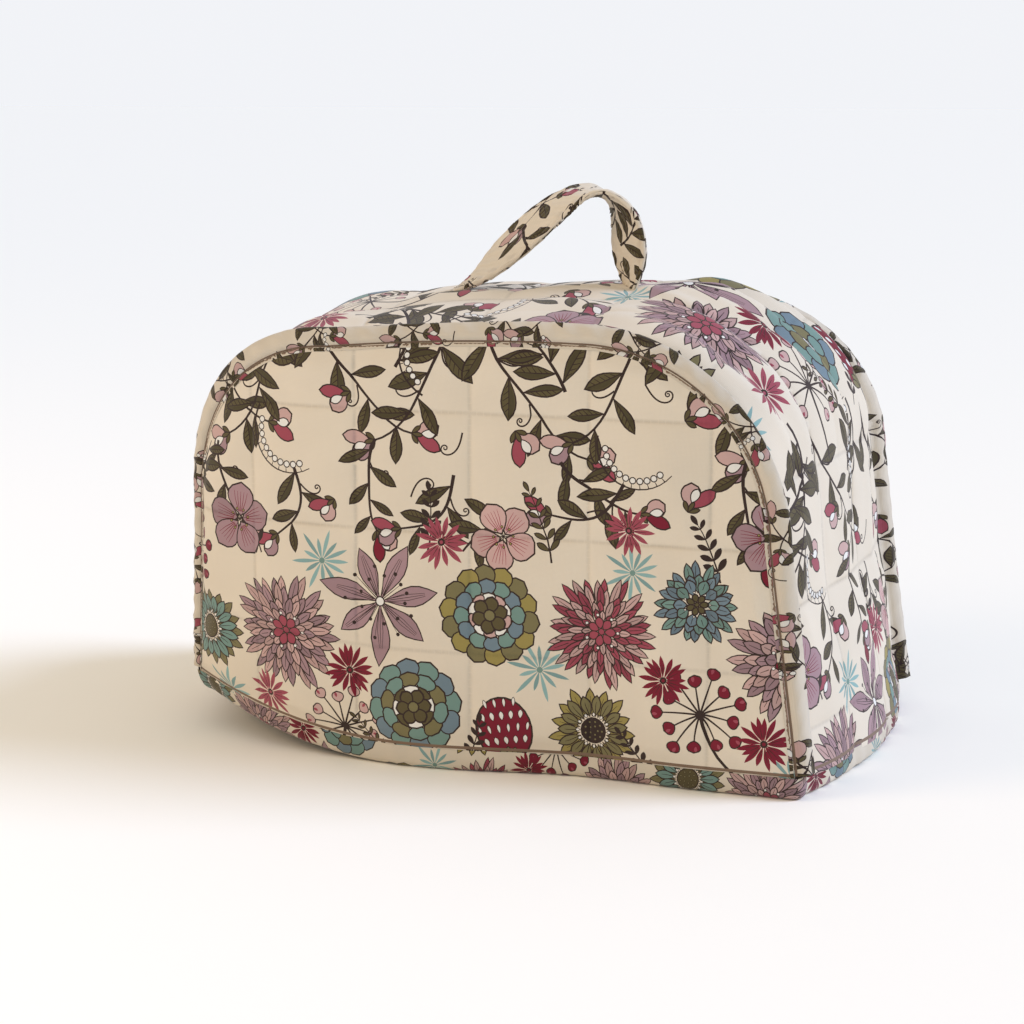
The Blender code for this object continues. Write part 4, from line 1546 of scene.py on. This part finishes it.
@dataclass
class Gusset(ClothPiece):
    """The long quilted strip over the left side, the top and the right side.

    Its flat cloth runs from the front seam to the back one along x, and from the
    right hem over the top to the left hem along y.
    """

    front: Seam = None
    back: Seam = None
    span: tuple[float, float] = (0.0, 1.0)
    tuck: float = 2.0 * MM

    @property
    def wide(self) -> float:
        """Its width, from seam to seam."""
        return BACK_Y - FRONT_Y

    def outline(self) -> np.ndarray:
        """A rectangle, with each edge at the hem tucked down into it."""
        low, high = (share * self.front.long for share in self.span)
        low -= self.tuck * (self.span[0] == 0.0)
        high += self.tuck * (self.span[1] == 1.0)
        corners = [(0.0, low), (self.wide, low), (self.wide, high), (0.0, high), (0.0, low)]
        return resample(np.array(corners), 300)[:-1]

    def lay(self, flat: np.ndarray, depth: float = 0.0) -> np.ndarray:
        """Points on the gusset's outer face, or under it."""
        share = 1.0 - flat[:, 1] / self.front.long
        past = (flat[:, 1] - np.clip(flat[:, 1], 0.0, self.front.long))[:, None]
        through = np.clip(flat[:, 0] / self.wide, 0.0, 1.0)[:, None]
        front_point, front_out, front_normal = self.front.at(share)
        back_point, back_out, back_normal = self.back.at(share)
        set_in = 0.5 * CLOTH + GAP
        base = (front_point - front_normal * set_in) * (1 - through)
        base += (back_point - back_normal * set_in) * through
        out = unit(front_out * (1 - through) + back_out * through)
        rounded = np.sin(math.pi * through[:, 0])
        fullness = 1.0 - (1.0 - LEFT_CROWN_SHARE) * smooth(-base[:, 0] / (12 * CM))
        top_share = smooth((base[:, 2] - 11 * CM) / (8 * CM)) * fullness
        hem_share = 1.0 - smooth(base[:, 2] / (9 * CM))
        crown = TOP_CROWN * top_share + SIDE_CROWN * (1.0 - top_share)
        crown = (crown + (HEM_CROWN - SIDE_CROWN) * hem_share) * rounded**0.8
        around = flat[:, 1] - 0.5 * self.front.long
        near = smooth(np.minimum(through[:, 0], 1.0 - through[:, 0]) * self.wide / PUFF_REACH)
        if depth == 0.0:
            bend = np.exp(-(((flat[:, 1] - RIDGES_AT) / RIDGES_REACH) ** 2))
            ridge = RIDGE_TALL * np.sqrt(np.abs(np.sin(2.0 * math.pi * flat[:, 0] / QUILT_PITCH)) + 0.02)
            crown = crown + (1.7 * quilt(around, flat[:, 0]) + 1.3 * self.folds(flat) + bend * ridge) * near
        placed = base + out * (crown - depth)[:, None]
        level = HEM_TALL + GAP + lift(placed[:, 0], placed[:, 1])
        at_hem = np.maximum(smooth(1.0 - flat[:, 1] / (6 * MM)),
                            smooth(1.0 - (self.front.long - flat[:, 1]) / (6 * MM)))
        nearest = np.minimum(np.maximum(flat[:, 1], 0.0), np.maximum(self.front.long - flat[:, 1], 0.0))
        placed[:, 2] += at_hem * (level + nearest - placed[:, 2])
        placed[:, 2] -= np.abs(past[:, 0])
        return placed

    def painted_shade_lines(self) -> list[np.ndarray]:
        """A strip of painted shade along each edge of the cloth."""
        long, edge = self.front.long, 0.2 * MM
        boxes = (
            (edge, 0.0, SHADE_STRIP_WIDE, long),
            (self.wide - SHADE_STRIP_WIDE, 0.0, self.wide - edge, long),
            (SHADE_STRIP_WIDE, edge, self.wide - SHADE_STRIP_WIDE, SHADE_STRIP_WIDE),
            (SHADE_STRIP_WIDE, long - SHADE_STRIP_WIDE, self.wide - SHADE_STRIP_WIDE, long - edge),
        )
        lines = []
        for left, low, right, high in boxes:
            corners = [(left, low), (right, low), (right, high), (left, high), (left, low)]
            lines.append(resample(np.array(corners), 500)[:-1])
        return lines

    def weave_map(self, flat: np.ndarray) -> np.ndarray:
        """Places on the weave, with the cross lines counted from the strip's middle."""
        return flat - (0.0, 0.5 * self.front.long)

    def ahead(self, flat: np.ndarray) -> np.ndarray:
        """The way out from the cover's middle."""
        return self.front.at(1.0 - flat[:, 1] / self.front.long)[1]


@dataclass
class SeamBinding(ClothPiece):
    """The bound seam that stands out round a panel, a band folded over its edge."""

    seam: Seam = None
    overlap: float = 1.8 * MM

    @property
    def straight(self) -> float:
        """Length of each flat side of the section."""
        return FLANGE_WIDTH - 0.5 * FLANGE_THICK

    @property
    def around(self) -> float:
        """Length of the folded section."""
        return self.overlap + 2.0 * self.straight + 0.5 * math.pi * FLANGE_THICK

    def outline(self) -> np.ndarray:
        """A long narrow rectangle."""
        corners = [(0.0, 0.0), (self.seam.long, 0.0), (self.seam.long, self.around)]
        corners += [(0.0, self.around), (0.0, 0.0)]
        return resample(np.array(corners), 700)[:-1]

    def lay(self, flat: np.ndarray, depth: float = 0.0) -> np.ndarray:
        """Points on the band, from the panel's side over its edge to the gusset's."""
        point, out, normal = self.seam.at(flat[:, 0] / self.seam.long)
        lean = FLANGE_LEAN * (1.0 - smooth(point[:, 2] / (13 * CM))) * smooth(point[:, 0] / (2 * CM))
        if self.seam.side > 0:
            lean = np.full_like(lean, BACK_FLANGE_LEAN)
        lean = lean[:, None]
        along = out * np.cos(lean) - normal * np.sin(lean)
        across = normal * np.cos(lean) + out * np.sin(lean)
        half = 0.5 * FLANGE_THICK
        t = flat[:, 1] - self.overlap
        angle = np.clip((t - self.straight) / half, 0.0, math.pi)
        wide = np.where(t < self.straight, t, self.straight + half * np.sin(angle))
        last = t > self.straight + math.pi * half
        wide = np.where(last, 2.0 * self.straight + math.pi * half - t, wide)
        puff = 0.8 + 0.75 * np.sin(math.pi * np.clip(wide / self.straight, 0.0, 1.0))
        thick = half * np.cos(angle) * puff
        pucker = 0.3 * MM * np.sin(2.0 * math.pi * flat[:, 0] / (11 * MM) + 3.0 * wide / FLANGE_WIDTH)
        pucker = pucker + 0.35 * MM * np.sin(flat[:, 0] / (17 * MM)) * wide / FLANGE_WIDTH
        sway = 0.5 * MM * np.sin(flat[:, 0] / (23 * MM)) * smooth(wide / FLANGE_WIDTH)
        base = point + out * (GAP + half * np.abs(np.sin(lean)))
        placed = base + along * (wide + sway)[:, None]
        placed = placed + across * (thick + pucker * np.cos(angle))[:, None]
        groove = 1.1 * MM * np.exp(-(((t - 0.45 * MM) / (0.5 * MM)) ** 2))
        root = point + out * t[:, None] + normal * (0.5 * CLOTH + 0.4 * MM - groove)[:, None]
        away = smooth(np.maximum(t, 0.0) / FLANGE_ROOT)[:, None]
        placed = root + (placed - root) * away
        left = self.around - flat[:, 1]
        behind = 0.5 * CLOTH + GAP + 1.5 * MM - left
        root = point + out * 0.9 * MM - normal * behind[:, None]
        return root + (placed - root) * smooth(left / FLANGE_ROOT)[:, None]

    def painted_shade_lines(self) -> list[np.ndarray]:
        """A strip of painted shade along the seam."""
        low, high = self.overlap + 0.1 * MM, self.overlap + 0.8 * MM
        corners = [(0.0, low), (self.seam.long, low), (self.seam.long, high), (0.0, high), (0.0, low)]
        return [resample(np.array(corners), 700)[:-1]]

    def ahead(self, flat: np.ndarray) -> np.ndarray:
        """Away from the middle of the band's section."""
        _, out, normal = self.seam.at(flat[:, 0] / self.seam.long)
        side = np.cos(np.clip((flat[:, 1] - self.overlap) / self.around, 0.0, 1.0) * math.pi)
        return out * 0.5 + normal * side[:, None]


@dataclass
class HemBinding(ClothPiece):
    """The band folded over the cover's bottom edge all round."""

    front: Seam = None
    back: Seam = None
    gusset: Gusset = None

    def __post_init__(self) -> None:
        """Work out the loop that the hem follows."""
        across = np.linspace(-FRONT.hem_left, FRONT.hem_right, 150)
        front = front_middle(across, np.full_like(across, HEM_TALL))
        wide = np.linspace(0.0, self.gusset.wide, 50)[1:-1]
        right = self.side_middle(wide, 0.0)
        left = self.side_middle(wide[::-1], self.front.long)
        across = np.linspace(BACK.hem_right, -BACK.hem_left, 150)
        back = back_middle(across, np.full_like(across, HEM_TALL))
        loop = np.concatenate([front, right, back, left])[:, :2]
        loop = resample(np.concatenate([loop, loop[:1]]), 961)[:-1]
        middle = 0.5 * (loop.min(0) + loop.max(0))
        for x, y in (front[0, :2], front[-1, :2], back[0, :2], back[-1, :2]):
            away = np.hypot(loop[:, 0] - x, loop[:, 1] - y)
            push = np.sign(np.array([x, y]) - middle) * HEM_CORNER_OUT * 0.55
            loop = loop + push * (1.0 - smooth(away / (9 * MM)))[:, None]
        for _ in range(24):
            loop = 0.25 * np.roll(loop, 1, 0) + 0.5 * loop + 0.25 * np.roll(loop, -1, 0)
        self.loop = np.concatenate([loop, loop[:1]])
        ahead = unit(np.roll(loop, -1, 0) - np.roll(loop, 1, 0))
        away = np.stack([ahead[:, 1], -ahead[:, 0]], -1)
        self.away = np.concatenate([away, away[:1]])
        self.long = float(np.linalg.norm(np.diff(self.loop, axis=0), axis=1).sum())

    def side_middle(self, wide: np.ndarray, up: float) -> np.ndarray:
        """Middle of the gusset's thickness at its bottom edge."""
        flat = np.stack([wide, np.full_like(wide, up)], -1)
        return 0.5 * (self.gusset.lay(flat) + self.gusset.lay(flat, CLOTH))

    @property
    def around(self) -> float:
        """Length of the folded section."""
        half = 0.5 * HEM_THICK
        return 2.0 * (HEM_TALL - half) + math.pi * half

    def outline(self) -> np.ndarray:
        """A long narrow rectangle."""
        corners = [(0.0, 0.0), (self.long, 0.0), (self.long, self.around)]
        corners += [(0.0, self.around), (0.0, 0.0)]
        return resample(np.array(corners), 900)[:-1]

    def lay(self, flat: np.ndarray, depth: float = 0.0) -> np.ndarray:
        """Points on the band, from its outer top edge under the hem to its inner one."""
        share = np.mod(flat[:, 0] / self.long, 1.0)
        share = np.where(flat[:, 0] >= self.long, 1.0, share)
        point = read_along(self.loop, share)
        away = unit(read_along(self.away, share))
        half = 0.5 * HEM_THICK
        straight = HEM_TALL - half
        angle = np.clip((flat[:, 1] - straight) / half, 0.0, math.pi)
        up = np.where(flat[:, 1] < straight, HEM_TALL - flat[:, 1], half * (1.0 - np.sin(angle)))
        inner = flat[:, 1] > straight + math.pi * half
        up = np.where(inner, flat[:, 1] - straight - math.pi * half + half, up)
        puff = 0.85 + 0.35 * np.sin(math.pi * np.clip(up / HEM_TALL, 0.0, 1.0))
        side = half * np.cos(angle) * puff
        pucker = 0.25 * MM * np.sin(2.0 * math.pi * flat[:, 0] / (12 * MM) + 200.0 * up)
        rise = lift(point[:, 0], point[:, 1])
        lean = 0.45 * rise / HEM_LIFT * (HEM_TALL - up)
        place = point + away * (side + pucker * np.cos(angle) - lean)[:, None]
        height = up + lift(place[:, 0], place[:, 1])
        return np.concatenate([place, height[:, None]], 1)

    def ahead(self, flat: np.ndarray) -> np.ndarray:
        """Away from the middle of the band's section."""
        away = read_along(self.away, np.clip(flat[:, 0] / self.long, 0.0, 1.0))
        side = np.cos(np.clip(flat[:, 1] / self.around, 0.0, 1.0) * math.pi)
        down = -np.sin(np.clip(flat[:, 1] / self.around, 0.0, 1.0) * math.pi)
        return np.concatenate([away * side[:, None], down[:, None]], 1)


@dataclass
class HandleStrap(ClothPiece):
    """One flat strap, looped and twisted over the top, its cloth folded all round."""

    # Place in cm, turn about the strap's own line in degrees, and share of its width
    route: tuple[tuple[float, float, float, float, float], ...] = (
        (-3.25, -1.5, 20.3, 0, 0.55),
        (-2.6, -1.5, 20.8, 14, 0.75),
        (-1.6, -1.5, 21.6, 34, 0.92),
        (-0.1, -1.5, 22.9, 44, 1.00),
        (1.5, -1.5, 24.2, 38, 1.00),
        (2.9, -1.5, 24.95, 18, 1.00),
        (4.0, -1.5, 24.8, -18, 1.00),
        (4.75, -1.5, 23.8, -46, 1.00),
        (5.0, -1.5, 22.4, -54, 1.00),
        (5.05, -1.5, 21.3, -42, 0.85),
        (5.15, -1.5, 20.3, -14, 0.55),
    )

    def __post_init__(self) -> None:
        """Work out the strap's line and frames."""
        rows = catmull(np.array(self.route), 240)
        line = rows[:, :3] * CM
        self.long = float(np.linalg.norm(np.diff(line, axis=0), axis=1).sum())
        tangent = unit(np.gradient(line, axis=0))
        turn = np.radians(rows[:, 3:4])
        edge = unit(np.array([0.0, -1.0, 0.0]) + tangent * tangent[:, 1:2])
        outward = np.cross(edge, tangent)
        wide = edge * np.cos(turn) - outward * np.sin(turn)
        thick = np.cross(wide, tangent)
        self.table = np.concatenate([line, wide, thick, rows[:, 4:5]], 1)

    @property
    def level(self) -> float:
        """Width of each flat face of the section, between its rounded edges."""
        return STRAP_WIDE - STRAP_THICK

    @property
    def around(self) -> float:
        """Length round the strap's section."""
        return 2.0 * self.level + math.pi * STRAP_THICK

    def corners(self) -> np.ndarray:
        """The edges of the strap's section all along it, from which its box follows."""
        line, wide, thick = self.table[:, :3], self.table[:, 3:6], self.table[:, 6:9]
        across = wide * self.table[:, 9:] * 0.5 * STRAP_WIDE
        through = thick * 0.5 * STRAP_THICK
        return np.concatenate([line + a * across + b * through for a in (-1, 1) for b in (-0.6, 0.6)])

    def outline(self) -> np.ndarray:
        """A rectangle that goes once round the section."""
        corners = [(0.0, 0.0), (self.long, 0.0), (self.long, self.around)]
        corners += [(0.0, self.around), (0.0, 0.0)]
        return resample(np.array(corners), 300)[:-1]

    def section(self, length: np.ndarray) -> tuple[np.ndarray, np.ndarray]:
        """Places across and through the section, for lengths round it from one edge."""
        half = 0.5 * STRAP_THICK
        arc = math.pi * half
        t = np.mod(length + 0.5 * arc, self.around)
        first = t / half - 0.5 * math.pi
        second = (t - arc - self.level) / half + 0.5 * math.pi
        parts = [t < arc, t < arc + self.level, t < 2.0 * arc + self.level]
        across = np.select(parts, [
            0.5 * self.level + half * np.cos(first),
            0.5 * self.level + arc - t,
            -0.5 * self.level + half * np.cos(second),
        ], t - 2.0 * arc - 1.5 * self.level)
        through = np.select(parts, [half * np.sin(first), half + 0.0 * t, half * np.sin(second)], -half)
        stitch = np.exp(-(((np.abs(across) - 0.5 * self.level + 1.2 * MM) / (0.8 * MM)) ** 2))
        padding = 1.0 + 0.18 * np.cos(math.pi * across / STRAP_WIDE)
        return across, through * (padding - 0.45 * stitch)

    def lay(self, flat: np.ndarray, depth: float = 0.0) -> np.ndarray:
        """Points on the strap's face."""
        read = read_along(self.table, flat[:, 0] / self.long)
        line, wide, thick = read[:, :3], unit(read[:, 3:6]), unit(read[:, 6:9])
        across, through = self.section(flat[:, 1])
        pucker = 0.15 * MM * np.sin(2.0 * math.pi * flat[:, 0] / (7 * MM) + 60.0 * across / STRAP_WIDE)
        gathered = (1.0 - read[:, 9]) * 1.1 * MM * np.sin(math.pi * 7.0 * across / STRAP_WIDE)
        lift_off = np.sign(through) * pucker + gathered
        place = line + wide * (across * read[:, 9])[:, None]
        return place + thick * (through + lift_off)[:, None]

    def ahead(self, flat: np.ndarray) -> np.ndarray:
        """Away from the strap's own line."""
        read = read_along(self.table, flat[:, 0] / self.long)
        return self.lay(flat) - read[:, :3]


@dataclass(frozen=True)
class Studio:
    """The pale floor, the soft lights and the camera."""

    shift: tuple[float, float]
    yaw: float = 17.5
    pitch: float = 10.5
    focal_pixels: float = 2300.0
    place: tuple[float, float, float] = (0.311, -1.018, 0.297)

    def build(self) -> None:
        """Set up everything that isn't the object."""
        self.add_camera()
        self.add_floor()
        self.add_sun("key", (0.75, 0.22, 0.62), 1.75, 26.0, (0.86, 1.04, 1.5))
        self.add_light("fill", (-1.25, -0.95, 1.0), (0.0, 0.0, 0.08), 0.8, 8.0, (1.0, 0.7, 0.4))
        self.add_world()
        bpy.context.scene.view_settings.view_transform = "Standard"

    @staticmethod
    def add_world() -> None:
        """Even light from all round, before a white background."""
        world = bpy.data.worlds.new("studio")
        world.use_nodes = True
        tree = world.node_tree
        light = tree.nodes["Background"]
        light.inputs["Color"].default_value = (1.0, 0.985, 0.96, 1.0)
        light.inputs["Strength"].default_value = 0.62
        white = tree.nodes.new("ShaderNodeBackground")
        white.inputs["Color"].default_value = (0.886, 0.898, 0.932, 1.0)
        seen = tree.nodes.new("ShaderNodeLightPath")
        choice = tree.nodes.new("ShaderNodeMixShader")
        tree.links.new(seen.outputs["Is Camera Ray"], choice.inputs["Fac"])
        tree.links.new(light.outputs["Background"], choice.inputs[1])
        tree.links.new(white.outputs["Background"], choice.inputs[2])
        tree.links.new(choice.outputs["Shader"], tree.nodes["World Output"].inputs["Surface"])
        bpy.context.scene.world = world

    @staticmethod
    def add_sun(name: str, towards: tuple[float, float, float], power: float, soft: float,
                colour: tuple[float, float, float]) -> None:
        """An even light from one side.

        Args:
            name: the light's name.
            towards: the direction in which the light is.
            power: its strength.
            soft: how wide it is seen, in degrees.
            colour: its colour.
        """
        data = bpy.data.lights.new(name, "SUN")
        data.energy = power
        data.angle = math.radians(soft)
        data.color = colour
        light = bpy.data.objects.new(name, data)
        light.rotation_euler = (-Vector(towards)).to_track_quat("-Z", "Y").to_euler()
        bpy.context.scene.collection.objects.link(light)

    def add_camera(self) -> None:
        """A camera at the photograph's viewing angle."""
        data = bpy.data.cameras.new("camera")
        data.sensor_width = 36.0
        data.lens = self.focal_pixels * data.sensor_width / 1024
        yaw, pitch = math.radians(self.yaw), math.radians(self.pitch)
        ahead = Vector((
            -math.sin(yaw) * math.cos(pitch),
            math.cos(yaw) * math.cos(pitch),
            -math.sin(pitch),
        ))
        camera = bpy.data.objects.new("camera", data)
        camera.rotation_euler = ahead.to_track_quat("-Z", "Y").to_euler()
        x, y, z = self.place
        camera.location = (x + self.shift[0], y + self.shift[1], z)
        bpy.context.scene.collection.objects.link(camera)
        bpy.context.scene.camera = camera

    def add_floor(self) -> None:
        """A wide pale floor."""
        bpy.ops.mesh.primitive_plane_add(size=60.0, location=(0.0, 0.0, -0.0002))
        floor = bpy.context.active_object
        floor.name = "floor"
        material = bpy.data.materials.new("floor")
        material.use_nodes = True
        shader = material.node_tree.nodes["Principled BSDF"]
        shader.inputs["Base Color"].default_value = (0.985, 0.945, 0.85, 1.0)
        shader.inputs["Roughness"].default_value = 0.9
        floor.data.materials.append(material)

    @staticmethod
    def add_light(name: str, place: tuple[float, float, float], aim: tuple[float, float, float],
                  size: float, power: float, colour: tuple[float, float, float]) -> None:
        """A square soft light that looks at a point."""
        data = bpy.data.lights.new(name, "AREA")
        data.size = size
        data.energy = power
        data.color = colour
        light = bpy.data.objects.new(name, data)
        light.location = place
        light.rotation_euler = (Vector(aim) - Vector(place)).to_track_quat("-Z", "Y").to_euler()
        bpy.context.scene.collection.objects.link(light)


def frame_shift(strap: HandleStrap) -> np.ndarray:
    """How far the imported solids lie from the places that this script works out."""
    low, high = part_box("handle_strap")
    corners = strap.corners()
    middle = 0.5 * (corners.min(0) + corners.max(0))
    shift = 0.5 * (np.array(low) + np.array(high)) - middle
    shift[2] = 0.0
    return shift


def main() -> None:
    """Build the cover's cloth, piece by piece, and the studio round it."""
    logging.basicConfig(level=logging.INFO, format="%(message)s")
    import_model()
    bpy.ops.object.select_all(action="DESELECT")
    front = Seam(FRONT, front_middle, -1)
    back = Seam(BACK, back_middle, 1)
    shift = frame_shift(HandleStrap("strap", "handle_strap", np.zeros(3), Bolt([])))
    log.info("shift %s", np.round(shift, 5))
    Studio((shift[0], shift[1])).build()
    bolt = Bolt()
    finishes = {
        "quilted": Cloth("quilted_cotton", stitched=True).material(),
        "plain": Cloth("printed_cotton").material(),
        # The bands are darker all over: partly their denser print, partly painted shade
        "binding": Cloth("bound_cotton", tone=0.66).material(),
    }
    common = {"shift": shift, "bolt": bolt}
    quilted = {**common, "finish": "quilted", "slot": "quilted_cloth", "held": "stretched",
               "rests_on": ("hem_band",), "lined": True}
    bound = {**common, "finish": "binding", "spacing": 2.2 * MM}
    gussets = [
        Gusset(f"gusset_{side}_cloth", f"gusset_{side}", **quilted, cloth_at=(3.0, 6.5), spacing=2.8 * MM,
               creases=GUSSET_CREASES, front=front, back=back, span=span)
        for side, span in GUSSET_LENGTHS.items()
    ]
    pieces = [
        Panel("front_cloth", "front_panel", **quilted, cloth_at=(15.5, 0.2), creases=FRONT_CREASES,
              seam=front),
        Panel("back_cloth", "back_panel", **quilted, cloth_at=(24.0, 0.6), seam=back),
        *gussets,
        SeamBinding("front_bound_seam", "front_binding", **bound, cloth_at=(2.0, 14.2),
                    print_size=0.62, seam=front),
        SeamBinding("back_bound_seam", "back_binding", **bound, cloth_at=(9.0, 13.0),
                    print_size=0.62, seam=back),
        HemBinding("hem_band", "hem_binding", **bound, cloth_at=(0.0, 4.0), print_size=0.75,
                   front=front, back=back, gusset=gussets[0]),
        HandleStrap("strap_cloth", "handle_strap", **common, slot="strap_cloth", cloth_at=(5.0, 12.6),
                    print_size=0.72, spacing=2.0 * MM),
    ]
    for piece in pieces:
        made = piece.build(finishes)
        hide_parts(piece.node)
        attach(made, "root")
        piece.flat_size()


if __name__ == "__main__":
    main()
